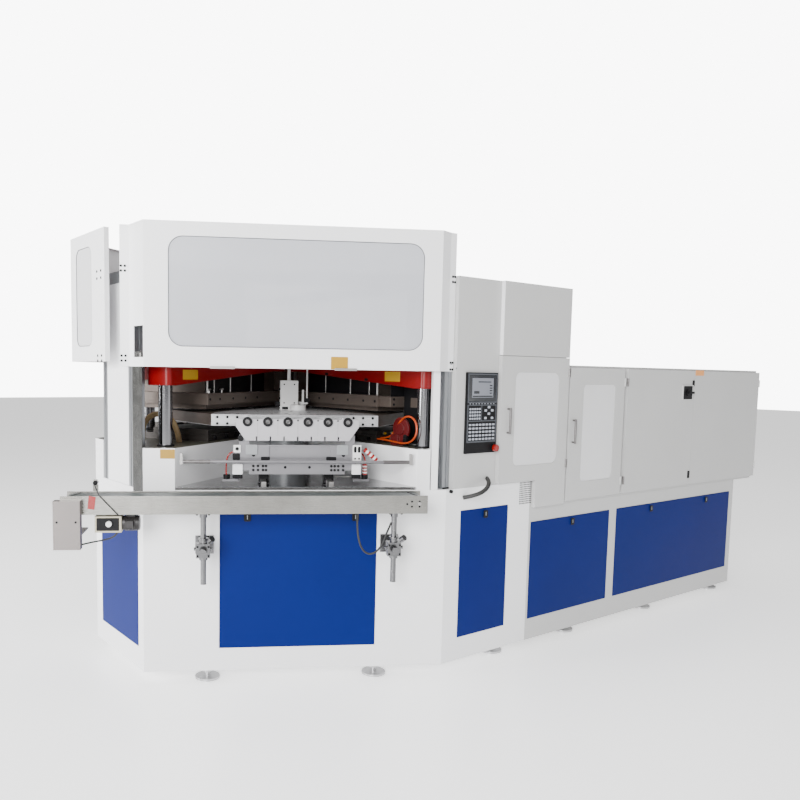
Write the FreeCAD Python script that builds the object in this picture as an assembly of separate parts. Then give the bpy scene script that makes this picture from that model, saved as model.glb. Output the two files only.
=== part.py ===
# Three-station injection blow moulding machine: moulding end, turret, guards, cabinets, conveyor.
# Machine axes: +X along the long cabinet side, +Y away from it, +Z up; millimetres.
# The plan is symmetric about the line Y = MID_Y.  The front face runs from the corner (0, 0)
# at 150 degrees; the station normals of the turret point to 240 (front), 120 (blow), 0 (inject).
import FreeCAD, Part
import math
import os
from FreeCAD import Vector

# ------------------------------------------------------------------ driving dimensions
FRONT_LEN = 1505.0        # length of the slanted front face
END_LEN = 645.0           # flat end between the two slanted faces
FRONT_X = 655.0           # where the front base meets the rear base
REAR_X = 2959.0           # end of the rear base
ROW_X = 3200.0            # end of the low cabinet row
FLOOR_GAP = 60.0          # underside of the bases above the floor
BASE_TOP = 970.0          # top of the front base
REAR_TOP = 818.0          # top of the rear base
WALL = 50.0               # frame thickness of the bases
TOP_T = 30.0              # plate on top of the front base
BED_TOP = 1175.0          # top of the clamp bed
TABLE_Z = 1273.0          # underside of the turret table
TABLE_T = 58.0
BAR_R = 35.0              # tie bars
SHAFT_R = 60.0            # lifting shaft of the turret
PLATEN_Z = 1478.0         # underside of the platens at the near tie bars
PLATEN_RISE = 78.0        # climb of the underside towards the middle of the station
PLATEN_TOP = 1640.0
GUARD_Z = 1567.0          # lower edge of the raised front guard
GUARD_H = 683.0
TALL_TOP = 2043.0         # top of the tall cabinet
ROW_TOP = 1616.0          # top of the low cabinets
COLUMN_X = 49.0           # near edge of the tall cabinet
CORNER_BAR = (-26.0, 150.0)   # near tie bar, from the corner of the base
CLAMP_STROKE = 40.0       # platen, tie bars and upper mould go down by this
LIFT_STROKE = 30.0        # the turret goes down by this

RUN = 0.05                # running fit, radial
FACE_GAP = 0.3            # gap between faces that turn on each other
DOOR_T = 25.0
DOOR_GAP = 0.5
SHEET = 3.0
PANE_T = 4.0
PANEL_T = 8.0
REBATE = 5.0
PROFILE = 60.0            # aluminium profile of the posts at the end face

COS = math.cos(math.radians(30.0))
WIDTH = END_LEN + FRONT_LEN                 # width over the parallel sides
MID_Y = WIDTH / 2.0
LEFT_X = -FRONT_LEN * COS                   # the flat end
HALF = FRONT_LEN / 2.0
REACH = (MID_Y - HALF * 0.5) / COS          # turret centre behind the front face
OX = -HALF * COS + REACH * 0.5
OY = MID_Y
TABLE_R = REACH - 66.9                      # swing of the table corners
FACE_RHO = REACH - 206.9                    # long faces of the table
SWING = TABLE_R + 5.0                       # kept free by everything beside the table


# ------------------------------------------------------------------ helpers
def front_xy(s, out):
    """Point of the front face: s from the corner, out towards the conveyor."""
    return (-COS * s - 0.5 * out, 0.5 * s - COS * out)


def station_xy(angle, rho, lat):
    """Point beside a station normal: rho along it, lat to its left."""
    c, n = math.cos(math.radians(angle)), math.sin(math.radians(angle))
    return (OX + rho * c - lat * n, OY + rho * n + lat * c)


def strip_xy(lat, rho):
    """Point of the stripping station, lat to the right as seen from the front."""
    return station_xy(240.0, rho, lat)


def slab(points, z0, z1):
    corners = [Vector(x, y, z0) for x, y in points]
    return Part.Face(Part.makePolygon(corners + corners[:1])).extrude(Vector(0, 0, z1 - z0))


def box(x0, x1, y0, y1, z0, z1):
    return Part.makeBox(x1 - x0, y1 - y0, z1 - z0, Vector(x0, y0, z0))


def front_box(s0, s1, out0, out1, z0, z1):
    plan = [(s0, out0), (s1, out0), (s1, out1), (s0, out1)]
    return slab([front_xy(*p) for p in plan], z0, z1)


def strip_box(lat0, lat1, rho0, rho1, z0, z1):
    plan = [(lat0, rho0), (lat1, rho0), (lat1, rho1), (lat0, rho1)]
    return slab([strip_xy(*p) for p in plan], z0, z1)


def rod(start, end, radius):
    a, b = Vector(*start), Vector(*end)
    return Part.makeCylinder(radius, (b - a).Length, a, b - a)


def post(xy, radius, z0, z1):
    return rod((xy[0], xy[1], z0), (xy[0], xy[1], z1), radius)


def join(shapes):
    """One solid from touching shapes."""
    body = shapes[0]
    if len(shapes) > 1:
        body = body.multiFuse(shapes[1:])
    body = body.removeSplitter()
    return body.Solids[0] if len(body.Solids) == 1 else body


def group(shapes):
    """Separate solids kept in one node."""
    solids = []
    for shape in shapes:
        solids.extend(shape.Solids)
    return Part.makeCompound(solids)


def far(shape):
    """The same thing on the other side of the centre line."""
    return shape.mirror(Vector(0, MID_Y, 0), Vector(0, 1, 0))


def blow_side(shape):
    """A part of the injection clamp, mirrored to the blow station."""
    return shape.mirror(Vector(OX, OY, 0), Vector(COS, -0.5, 0))


def offset_path(points, distance, closed=True):
    """Points moved to the left of the path, with mitred corners."""
    moved, count = [], len(points)
    for i, (x, y) in enumerate(points):
        normals = []
        for j, k in ((i - 1, i), (i, i + 1)):
            if closed or (j >= 0 and k < count):
                (ax, ay), (bx, by) = points[j % count], points[k % count]
                size = math.hypot(bx - ax, by - ay)
                normals.append(((ay - by) / size, (bx - ax) / size))
        if len(normals) == 1:
            normals.append(normals[0])
        (ax, ay), (bx, by) = normals
        scale = distance / (1.0 + ax * bx + ay * by)
        moved.append((x + (ax + bx) * scale, y + (ay + by) * scale))
    return moved


def folded(points, thickness, z0, z1):
    """Bent sheet standing upright; its thickness lies left of the path."""
    inner = offset_path(points, thickness, closed=False)
    return slab(points + inner[::-1], z0, z1)


def round_box(x0, x1, z0, z1, y0, y1, radius):
    """Plate in the XZ plane with round corners."""
    plate = box(x0, x1, y0, y1, z0, z1)
    upright = [e for e in plate.Edges if abs(abs(e.tangentAt(e.FirstParameter).y) - 1) < 1e-6]
    return plate.makeFillet(radius, upright)


def front_turn(shape):
    """Shape built over (s, -out) along +X, +Y brought to the front face."""
    shape.rotate(Vector(0, 0, 0), Vector(0, 0, 1), 150.0)
    return shape


# ------------------------------------------------------------------ bases and their panels
LEFT_Y = MID_Y - END_LEN / 2.0
BASE_PLAN = [(0, 0), (FRONT_X, 0), (FRONT_X, WIDTH), (0, WIDTH),
             (LEFT_X, LEFT_Y + END_LEN), (LEFT_X, LEFT_Y)]
# clamp points seen from the turret: (rho, lat to the far side)
NEAR_BAR = (CORNER_BAR[0] - OX, CORNER_BAR[1] - OY)
SIDE_BAR = (REACH - 116.9, -430.0)
FAR_BAR = (580.0, MID_Y - 395.0)
BARS = [NEAR_BAR, SIDE_BAR, FAR_BAR]
PISTON = (480.0, -200.0)
PANEL_TOP = BASE_TOP - 110.0
WAY_Y, WAY_H = 250.0, 60.0                    # slideways of the injection unit
FRONT_PANEL = (352.0, FRONT_LEN - 370.0, 175.0, PANEL_TOP)
END_PANEL = (65.0, END_LEN - 90.0, 175.0, PANEL_TOP)
SIDE_PANELS = [(111.0, 472.0, 182.0, BASE_TOP - 118.0),
               (FRONT_X + 19.0, 1415.0, 182.0, REAR_TOP - 82.0),
               (1496.0, REAR_X - 61.0, 182.0, REAR_TOP - 81.0)]


def side_opening(panel):
    x0, x1, z0, z1 = panel
    through = box(x0 + 20, x1 - 20, -1, WALL + 1, z0 + 20, z1 - 20)
    return through.fuse(box(x0 - 1, x1 + 1, -1, REBATE, z0 - 1, z1 + 1))


def front_opening(panel):
    s0, s1, z0, z1 = panel
    through = front_box(s0 + 20, s1 - 20, -WALL - 1, 1, z0 + 20, z1 - 20)
    return through.fuse(front_box(s0 - 1, s1 + 1, -REBATE, 1, z0 - 1, z1 + 1))


def end_opening(panel):
    y0, y1 = LEFT_Y + panel[0], LEFT_Y + panel[1]
    z0, z1 = panel[2], panel[3]
    through = box(LEFT_X - 1, LEFT_X + WALL + 1, y0 + 20, y1 - 20, z0 + 20, z1 - 20)
    return through.fuse(box(LEFT_X - 1, LEFT_X + REBATE, y0 - 1, y1 + 1, z0 - 1, z1 + 1))


def bar_holes(z0, z1, extra):
    holes = [post(station_xy(0, *p), BAR_R + extra, z0, z1) for p in BARS]
    return holes + [blow_side(h) for h in holes]


def front_base():
    """Floor and walls, open at the top."""
    body = slab(BASE_PLAN, FLOOR_GAP, BASE_TOP - TOP_T)
    body = body.cut(slab(offset_path(BASE_PLAN, WALL), FLOOR_GAP + WALL, BASE_TOP))
    near = [front_opening(FRONT_PANEL), side_opening(SIDE_PANELS[0])]
    return body.cut(near + [far(c) for c in near] + [end_opening(END_PANEL)])


def base_top():
    """Plate on the walls with bores for the tie bars and the turret."""
    plate = slab(BASE_PLAN, BASE_TOP - TOP_T, BASE_TOP)
    bores = bar_holes(BASE_TOP - TOP_T - 1.0, BASE_TOP + 1.0, 10.0)
    bores.append(post((OX, OY), SHAFT_R + 10.0, BASE_TOP - TOP_T - 1.0, BASE_TOP + 1.0))
    return plate.cut(bores)


def rear_base():
    body = box(FRONT_X, REAR_X, 0, WIDTH, FLOOR_GAP, REAR_TOP)
    hollow = box(FRONT_X + WALL, REAR_X - WALL, WALL, WIDTH - WALL, FLOOR_GAP + WALL, REAR_TOP - WALL)
    near = [side_opening(p) for p in SIDE_PANELS[1:]]
    ways = [box(FRONT_X + 105.0, REAR_X - 259.0, MID_Y + y - 40, MID_Y + y + 40,
                REAR_TOP, REAR_TOP + WAY_H) for y in (-WAY_Y, WAY_Y)]
    return join([body.cut([hollow] + near + [far(c) for c in near])] + ways)


def levelling_foot(x, y):
    pad = post((x, y), 62.5, 0, 12)
    return join([pad, post((x, y), 15, 12, FLOOR_GAP), post((x, y), 30, 38, FLOOR_GAP)])


def levelling_feet():
    spots = [front_xy(342.0, -65.0), front_xy(FRONT_LEN - 309.0, -65.0)]
    spots += [(x, 110.0) for x in (500.0, 1150.0, 2000.0, REAR_X - 79.0)]
    feet = [levelling_foot(x, y) for x, y in spots]
    return group(feet + [far(f) for f in feet])


def latch(x, z):
    return rod((x, REBATE - PANEL_T, z), (x, REBATE - PANEL_T - 4.0, z), 14.0)


def side_panel(panel, latches):
    x0, x1, z0, z1 = panel
    plate = box(x0, x1, REBATE - PANEL_T, REBATE, z0, z1)
    return join([plate] + [latch(x, z1 - 30.0) for x in latches])


def side_panels():
    mid = [(p[0] + p[1]) / 2.0 for p in SIDE_PANELS]
    third = SIDE_PANELS[2]
    near = [side_panel(SIDE_PANELS[0], [mid[0]]), side_panel(SIDE_PANELS[1], [mid[1]]),
            side_panel(third, [third[0] + 380.0, third[1] - 330.0])]
    return group(near + [far(p) for p in near])


def front_panel():
    s0, s1, z0, z1 = FRONT_PANEL
    plate = front_box(s0, s1, -REBATE, PANEL_T - REBATE, z0, z1)
    knobs = []
    for s in (s0 + 110.0, s1 - 135.0):
        (ax, ay), (bx, by) = front_xy(s, PANEL_T - REBATE), front_xy(s, PANEL_T - REBATE + 4.0)
        knobs.append(rod((ax, ay, z1 - 25.0), (bx, by, z1 - 25.0), 14.0))
    return join([plate] + knobs)


def end_panel():
    y0, y1, z0, z1 = END_PANEL
    face = LEFT_X + REBATE
    plate = box(face - PANEL_T, face, LEFT_Y + y0, LEFT_Y + y1, z0, z1)
    y = LEFT_Y + y0 + 60.0
    return join([plate, rod((face - PANEL_T, y, z1 - 25), (face - PANEL_T - 4, y, z1 - 25), 14.0)])


# ------------------------------------------------------------------ clamp bed and deck
POCKET_S = (152.5, 343.0)
POCKET_D = 330.0
INNER_RHO = 116.0                            # inner walls of the bed beside the turret
COLUMN_R = INNER_RHO - 6.0                    # guide column of the turret
BED_END_X = 640.0
BED_SIDE_Y = 425.0
FRAME_X = 35.0
DECK_TOP = BASE_TOP + 15.0


def pocket_points():
    """Pocket outline from the near front corner round the turret to the left front corner."""
    tip = (OX + INNER_RHO, OY + INNER_RHO * (0.5 + 1.0) / COS)
    near = [front_xy(POCKET_S[0], 0), front_xy(POCKET_S[1], -POCKET_D)]
    left = [front_xy(FRONT_LEN - POCKET_S[1], -POCKET_D), front_xy(FRONT_LEN - POCKET_S[0], 0)]
    return near + [tip] + left


def clamp_bed():
    pocket = pocket_points()
    notch = front_xy(85.0, 0)
    side = [notch, (notch[0], 80.0), (FRAME_X, 80.0), (FRAME_X, BED_SIDE_Y), (BED_END_X, BED_SIDE_Y)]
    back = [(x, WIDTH - y) for x, y in side[::-1]]
    end = [(LEFT_X, LEFT_Y + END_LEN), (LEFT_X, MID_Y + RAIL_Y + 35.0),
           (LEFT_X + 65.0, MID_Y + RAIL_Y + 35.0), (LEFT_X + 65.0, MID_Y - RAIL_Y - 35.0),
           (LEFT_X, MID_Y - RAIL_Y - 35.0), (LEFT_X, LEFT_Y)]
    plan = side + back + end + pocket[::-1]
    return slab(plan, BASE_TOP, BED_TOP).cut(bar_holes(BASE_TOP - 1, BED_TOP + 1, RUN))


def deck_plate():
    plate = slab(offset_path(pocket_points(), 1.0), BASE_TOP, DECK_TOP)
    return plate.cut(post((OX, OY), SHAFT_R + 10.0, BASE_TOP - 1, DECK_TOP + 1))


# ------------------------------------------------------------------ posts, walls, cabinets
RAIL_Y = 173.0                                # rails of the end face beside the centre line
POST = 45.0                                   # posts beside the tall cabinet
SLOT_W, SLOT_D = 8.2, 5.0
FRAME_TOP = TALL_TOP + 2.0


def profile(x0, y0, size, z0, z1):
    """Upright profile with a groove down the middle of each side."""
    bar = box(x0, x0 + size, y0, y0 + size, z0, z1)
    cx, cy, w = x0 + size / 2.0, y0 + size / 2.0, SLOT_W / 2.0
    ends = [(x0 - 1, x0 + SLOT_D), (x0 + size - SLOT_D, x0 + size + 1)]
    cuts = [box(a, b, cy - w, cy + w, z0 - 1, z1 + 1) for a, b in ends]
    ends = [(y0 - 1, y0 + SLOT_D), (y0 + size - SLOT_D, y0 + size + 1)]
    cuts += [box(cx - w, cx + w, a, b, z0 - 1, z1 + 1) for a, b in ends]
    return bar.cut(cuts)


RAIL_X = LEFT_X + 3.4
POST_X, POST_Y = 0.0, 30.0


def beam(a, b, width, z0, z1):
    size = math.hypot(b[0] - a[0], b[1] - a[1])
    nx, ny = (a[1] - b[1]) / size * width / 2.0, (b[0] - a[0]) / size * width / 2.0
    plan = [(a[0] - nx, a[1] - ny), (b[0] - nx, b[1] - ny), (b[0] + nx, b[1] + ny), (a[0] + nx, a[1] + ny)]
    return slab(plan, z0, z1)


def guard_frame():
    rail_y = MID_Y - RAIL_Y - PROFILE / 2.0
    cap = FRAME_TOP - PROFILE
    near = [profile(RAIL_X, rail_y, PROFILE, BASE_TOP, cap), profile(POST_X, POST_Y, POST, BASE_TOP, cap)]
    start = (RAIL_X + PROFILE / 2.0, rail_y + PROFILE / 2.0)
    stop = (POST_X + POST / 2.0 - 12.0, POST_Y + POST / 2.0 + 10.0)
    near.append(beam(start, stop, POST, cap, FRAME_TOP))
    near.append(box(RAIL_X, RAIL_X + PROFILE, rail_y, rail_y + PROFILE, cap, FRAME_TOP))
    near.append(box(POST_X, POST_X + POST, POST_Y, POST_Y + POST, cap, FRAME_TOP))
    across = [box(RAIL_X, RAIL_X + PROFILE, rail_y, WIDTH - rail_y, cap, FRAME_TOP),
              box(POST_X, POST_X + POST, POST_Y, WIDTH - POST_Y, cap, FRAME_TOP)]
    return join(near + [far(p) for p in near] + across)


def fixed_walls():
    cap = FRAME_TOP - PROFILE
    edge = MID_Y - RAIL_Y + PROFILE / 2.0
    end = box(RAIL_X, RAIL_X + 6.0, edge, WIDTH - edge, BASE_TOP, cap)
    corner = front_box(45.0, 80.0, -45.0, -2.0, BASE_TOP, cap)
    cover = box(FRONT_X + 5.0, REAR_X, WIDTH - 40.0, WIDTH, REAR_TOP, ROW_TOP)
    return group([end, corner, far(corner), cover])


CABINET_GAP = 11.0                            # between the table's swing and the cabinet
CABINET_D = OY - math.sqrt((SWING + CABINET_GAP) ** 2 - (COLUMN_X - OX) ** 2)
GUARD_SEAM = 364.0
COVER_OUT = DOOR_T - 1.0                      # cover plate above the control door
CELL_X = 930.0                                # end of the tall cabinet
OPEN_TOP = 1640.0
STILE = 20.0


def tall_cabinet():
    column = box(COLUMN_X, GUARD_SEAM, 0, CABINET_D, BASE_TOP, TALL_TOP)
    portal = box(GUARD_SEAM, CELL_X, 0, 60.0, BASE_TOP, TALL_TOP)
    skirt = box(FRONT_X, CELL_X, 0, 60.0, REAR_TOP, BASE_TOP)
    opening = [box(GUARD_SEAM + STILE, CELL_X - STILE, -1, 61, BASE_TOP + 26.0, OPEN_TOP),
               box(FRONT_X + 2 * STILE, CELL_X - STILE, -1, 61, REAR_TOP + STILE, BASE_TOP + 27.0)]
    cover = box(GUARD_SEAM + 2.0, CELL_X, -COVER_OUT, 1, OPEN_TOP + STILE - 3.0, TALL_TOP)
    return join([column, portal, skirt, cover]).cut(opening)


ROW_D = 500.0
ROW_SPLIT = 1500.0
DOOR_SPLIT = 2291.0


def low_cabinet():
    frame = box(CELL_X, ROW_SPLIT, 0, 60.0, REAR_TOP, ROW_TOP)
    frame = frame.cut(box(CELL_X + 36, ROW_SPLIT - 40, -1, 61, REAR_TOP + 38, ROW_TOP - 33))
    case = box(ROW_SPLIT, ROW_X, 0, ROW_D, REAR_TOP, ROW_TOP)
    case = case.cut(box(ROW_SPLIT + 20, ROW_X - 20, 20, ROW_D - 20, REAR_TOP + 20, ROW_TOP - 20))
    for x0, x1 in ((ROW_SPLIT + 30, DOOR_SPLIT - 15), (DOOR_SPLIT + 15, ROW_X - 30)):
        case = case.cut(box(x0, x1, -1, 21, REAR_TOP + 30, ROW_TOP - 30))
    rack = box(ROW_SPLIT + 100, ROW_X - 100, ROW_D - 60, ROW_D - 20, REAR_TOP + 70, ROW_TOP - 70)
    return join([frame, case, rack])


# ------------------------------------------------------------------ doors
DOOR_Y = (-DOOR_T, -DOOR_GAP)
DOOR_SPANS = {"control": (360.0, CELL_X, BASE_TOP + 6.0, OPEN_TOP + 15.0),
              "barrel": (CELL_X + 16.0, ROW_SPLIT - 20.0, REAR_TOP + 18.0, ROW_TOP - 13.0),
              "switch": (ROW_SPLIT + 12.0, DOOR_SPLIT - 1.0, REAR_TOP + 18.0, ROW_TOP - 13.0),
              "rear": (DOOR_SPLIT + 1.0, ROW_X, REAR_TOP + 18.0, ROW_TOP - 13.0)}
WINDOWS = {"control": (470.0, 840.0, 1065.0, OPEN_TOP - 70.0),
           "barrel": (1070.0, ROW_SPLIT - 117.0, 940.0, ROW_TOP - 109.0)}
HANDLES = {"control": (417.0, 1312.0), "barrel": (982.0, 1238.5)}
SKIRT_X = FRONT_X + 14.0
KNUCKLE_R, KNUCKLE_L = 6.0, 52.0


def knuckles(x, low, high):
    """Hinge knuckles on the turning axis of a door, one near each end."""
    return [rod((x, -DOOR_T, z), (x, -DOOR_T, z + KNUCKLE_L), KNUCKLE_R)
            for z in (low + 55.0, high - 55.0 - KNUCKLE_L)]


def leaf(spans):
    """Door pan: sheet in front, rim folded back."""
    outer, inner = [], []
    for x0, x1, z0, z1 in spans:
        outer.append(box(x0, x1, DOOR_Y[0], DOOR_Y[1], z0, z1))
        inner.append(box(x0 + SHEET, x1 - SHEET, DOOR_Y[0] + SHEET, DOOR_Y[1] + 1, z0 + SHEET, z1 - SHEET))
    return join(outer).cut(inner)


def window_cut(name, y0, y1, grow, radius):
    x0, x1, z0, z1 = WINDOWS[name]
    return round_box(x0 - grow, x1 + grow, z0 - grow, z1 + grow, y0, y1, radius + grow)


def control_door():
    x0, x1, z0, z1 = DOOR_SPANS["control"]
    skirt = (SKIRT_X, x1, REAR_TOP + 4.0, z0 + 30.0)
    pan = leaf([(x0, x1, z0, z1), skirt]).cut(window_cut("control", -DOOR_T - 1, -DOOR_T + SHEET + 1, 0, 40))
    return join([pan] + knuckles(x1, z0, z1))


def barrel_door():
    span = DOOR_SPANS["barrel"]
    pan = leaf([span]).cut(window_cut("barrel", -DOOR_T - 1, -DOOR_T + SHEET + 1, 0, 30))
    return join([pan] + knuckles(*span[1:]))


def door_window(name, radius):
    y0 = DOOR_Y[0] + SHEET
    return window_cut(name, y0, y0 + PANE_T, 15.0, radius)


def door_handle(name):
    """Bow handle with 126 mm between its feet."""
    x, z = HANDLES[name]
    feet = [rod((x, -DOOR_T, z + d), (x, -DOOR_T - 24.0, z + d), 5.0) for d in (-63.0, 63.0)]
    grip = rod((x, -DOOR_T - 20.0, z - 70.0), (x, -DOOR_T - 20.0, z + 70.0), 6.0)
    return join(feet + [grip])


SWITCH = (DOOR_SPLIT - 89.0, 1458.0)


def switch_door():
    x, z = SWITCH
    plate = box(x - 65, x + 66, -DOOR_T - 6, -DOOR_T, z - 51, z + 51)
    x0, _, z0, z1 = DOOR_SPANS["switch"]
    body = join([leaf([DOOR_SPANS["switch"]]), plate] + knuckles(x0, z0, z1))
    return body.cut(rod((x, -DOOR_T - 7, z), (x, -DOOR_T + SHEET + 1, z), 6.0 + RUN))


def main_switch():
    x, z = SWITCH
    y = -DOOR_T - 6 - FACE_GAP
    knob = rod((x, y, z), (x, y - 8, z), 24.0)
    grip = box(x - 16, x + 48, y - 20, y - 8, z - 7, z + 7)
    return join([knob, grip, rod((x, y, z), (x, -DOOR_T + SHEET, z), 6.0)])


def rear_door():
    span = DOOR_SPANS["rear"]
    return join([leaf([span])] + knuckles(*span[1:]))


# ------------------------------------------------------------------ control panel
PANEL_BOX = (116.0, 346.0, 1148.0, 1565.0)
SCREEN = (128.0, 334.0, 1418.0, 1550.0)
STOP = (325.0, 1172.0)
PANEL_OUT = 12.0
STOP_TRAVEL = 6.0


def control_panel():
    x0, x1, z0, z1 = PANEL_BOX
    body = box(x0, x1, -PANEL_OUT, 0, z0, z1)
    sx0, sx1, sz0, sz1 = SCREEN
    body = body.cut(box(sx0 - 0.3, sx1 + 0.3, -PANEL_OUT - 1, -6.0, sz0 - 0.3, sz1 + 0.3))
    collar = rod((STOP[0], -PANEL_OUT - 4, STOP[1]), (STOP[0], -PANEL_OUT, STOP[1]), 22.0)
    return join([body, collar]).cut(rod((STOP[0], -20, STOP[1]), (STOP[0], 1, STOP[1]), 10.0 + RUN))


def touch_screen():
    x0, x1, z0, z1 = SCREEN
    return box(x0, x1, -PANEL_OUT - 2, -6.0, z0, z1)


def e_stop_button():
    x, z = STOP
    y = -PANEL_OUT - 4 - STOP_TRAVEL - 0.5
    return join([rod((x, y, z), (x, y - 15, z), 19.0), rod((x, -PANEL_OUT + 5, z), (x, y, z), 10.0)])


# ------------------------------------------------------------------ turret
ROD_Z = 1305.0
ROD_PITCH = 100.0
FLANGE_TOP = TABLE_Z - FACE_GAP


def turret_column():
    top = FLANGE_TOP - 30.0 - LIFT_STROKE - 2.0
    body = post((OX, OY), COLUMN_R, BASE_TOP + 15.0, top)
    return body.cut(post((OX, OY), SHAFT_R + RUN, BASE_TOP, top + 1))


def table_bars(angle):
    """Neck bar with six core rods along one long side of the table."""
    pieces = []
    plan = [(FACE_RHO - 1, -420), (FACE_RHO + 12, -420), (FACE_RHO + 12, 420), (FACE_RHO - 1, 420)]
    pieces.append(slab([station_xy(angle, *p) for p in plan], TABLE_Z + 8, TABLE_Z + TABLE_T - 8))
    for k in range(6):
        lat = (k - 2.5) * ROD_PITCH
        (ax, ay), (bx, by) = station_xy(angle, FACE_RHO, lat), station_xy(angle, FACE_RHO + 88.0, lat)
        pieces.append(rod((ax, ay, ROD_Z), (bx, by, ROD_Z), 9.0))
    return pieces


def turret_table():
    half = math.sqrt(TABLE_R ** 2 - FACE_RHO ** 2)
    plan = []
    for angle in (0.0, 120.0, 240.0):
        plan += [station_xy(angle, FACE_RHO, -half), station_xy(angle, FACE_RHO, half)]
    pieces = [slab(plan, TABLE_Z, TABLE_Z + TABLE_T)]
    for angle in (0.0, 120.0, 240.0):
        pieces += table_bars(angle)
    return join(pieces).cut(post((OX, OY), SHAFT_R + RUN, TABLE_Z - 1, TABLE_Z + TABLE_T + 1))


def air_manifold():
    top = TABLE_Z + TABLE_T + FACE_GAP
    head = PLATEN_TOP + 60.0
    shaft = post((OX, OY), SHAFT_R, BASE_TOP - 250.0, top)
    flange = post((OX, OY), SHAFT_R + 90.0, FLANGE_TOP - 30.0, FLANGE_TOP)
    block = strip_box(-52, 52, -45, 45, top, top + 171.0)
    stem = post((OX, OY), 10.0, top + 171.0, head)
    plate = strip_box(-60, 130, -60, 60, head, head + 12.0)
    collar = post(strip_xy(49, 70), 48.0, top, top + 29.0)
    blade = strip_box(78, 90, -6, 6, top + 30, top + 118)
    link = strip_box(50, 90, -6, 6, top + 30, top + 46)
    line = post(strip_xy(108, 0), 5.0, top + 37, head + 1)
    foot = strip_box(89, 113, -5, 5, top + 32, top + 42)
    return join([shaft, flange, block, stem, plate, collar, blade, link, line, foot])


# ------------------------------------------------------------------ clamps
MOULD_RHO = (180.0, REACH - 26.9)
MOULD_LAT = 600.0
PLATEN_SIDE = -MOULD_LAT - 50.0
CUT_GAP = 12.5                                # each half of the gap between the two stations


def on_cut(lat):
    """Distance along the normal where the plane between the stations is met."""
    return (CUT_GAP + 0.5 * lat) / COS


def cut_lat(rho):
    return (rho * COS - CUT_GAP) / 0.5


def mould_plan():
    r0, r1 = MOULD_RHO
    points = [(r0, -MOULD_LAT), (r1, -MOULD_LAT), (r1, MOULD_LAT), (on_cut(MOULD_LAT), MOULD_LAT),
              (r0, cut_lat(r0))]
    return [station_xy(0, *p) for p in points]


def lower_mould():
    bolster = slab(mould_plan(), BED_TOP, BED_TOP + 35.0)
    cavity = [(FACE_RHO + 30, -300), (MOULD_RHO[1] - 6, -300), (MOULD_RHO[1] - 6, 300), (FACE_RHO + 30, 300)]
    rows = slab([station_xy(0, *p) for p in cavity], BED_TOP + 35.0, BED_TOP + 65.0)
    inner = [(MOULD_RHO[0] + 8, -MOULD_LAT + 8), (FACE_RHO - 60, -MOULD_LAT + 8),
             (FACE_RHO - 60, 300), (on_cut(300) + 40, 300), (MOULD_RHO[0] + 8, cut_lat(MOULD_RHO[0]) - 60)]
    body = join([bolster, rows, slab([station_xy(0, *p) for p in inner], BED_TOP + 35.0, BED_TOP + 63.0)])
    grooves = []
    for k in range(6):
        lat = (k - 2.5) * ROD_PITCH
        (ax, ay), (bx, by) = station_xy(0, FACE_RHO + 29, lat), station_xy(0, FACE_RHO + 140, lat)
        grooves.append(rod((ax, ay, BED_TOP + 65), (bx, by, BED_TOP + 65), 16.0))
    hole = post(station_xy(0, *SIDE_BAR), BAR_R + 8.0, BED_TOP - 1, BED_TOP + 70)
    return body.cut(grooves + [hole])


UPPER_Z = TABLE_Z + 71.0


WING_R = 68.0                                 # half width of the platen at the near bar
BOSS_R = 53.0                                 # bosses round the other two bars
PLATEN_RHO = (NEAR_BAR[0] - WING_R, REACH - 16.9)
SLOPE_END = 112.0                             # lat where the underside is level again
CORNER_FILLET = 26.0


def below_platen():
    """Room under the sloping underside of the injection platen."""
    x, reach = OX, OY + REACH
    level = PLATEN_Z + PLATEN_RISE
    outline = [(OY - reach, PLATEN_Z), (OY + NEAR_BAR[1], PLATEN_Z), (OY + SLOPE_END, level),
               (OY + reach, level), (OY + reach, BED_TOP), (OY - reach, BED_TOP)]
    side = [Vector(x, y, z) for y, z in outline]
    return Part.Face(Part.makePolygon(side + side[:1])).extrude(Vector(reach, 0, 0))


def upper_mould():
    """Mould plate with its cavity blocks below and a backing block up to the platen."""
    plate = slab(mould_plan(), UPPER_Z + 26.0, UPPER_Z + 88.0)
    cavities = slab(offset_path(mould_plan(), 45.0), UPPER_Z, UPPER_Z + 27.0)
    backing = slab(offset_path(mould_plan(), 60.0), UPPER_Z + 87.0, PLATEN_TOP).common(below_platen())
    xy = station_xy(0, *SIDE_BAR)
    holes = [post(xy, BAR_R + RUN, UPPER_Z - 1, UPPER_Z + 90), post(xy, BOSS_R + 1, UPPER_Z + 88, PLATEN_TOP)]
    return join([plate, cavities, backing]).cut(holes)


def platen():
    """Cast plate: deep at the near bar, its underside climbing to the middle of the station."""
    r0, r1 = PLATEN_RHO
    end = NEAR_BAR[1] - WING_R
    tip = FAR_BAR[1] + 120.0
    body = [(r0, end), (r0 + 2 * WING_R, end), (r0 + 2 * WING_R, PLATEN_SIDE), (r1, PLATEN_SIDE),
            (r1, MOULD_LAT), (FAR_BAR[0] + 20, tip), (on_cut(tip), tip), (r0, cut_lat(r0))]
    plate = slab([station_xy(0, *p) for p in body], PLATEN_Z, PLATEN_TOP)
    corners = [e for e in plate.Edges if e.BoundBox.YMax < OY + end + 1 and e.BoundBox.ZLength > 1]
    plate = plate.makeFillet(CORNER_FILLET, corners).cut(below_platen())
    bosses = [post(station_xy(0, *p), BOSS_R, PLATEN_Z, PLATEN_TOP) for p in (SIDE_BAR, FAR_BAR)]
    holes = [post(station_xy(0, *p), BAR_R - 5 + RUN, PLATEN_Z - 1, PLATEN_TOP + 1) for p in BARS]
    return join([plate] + bosses).cut(holes)


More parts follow.
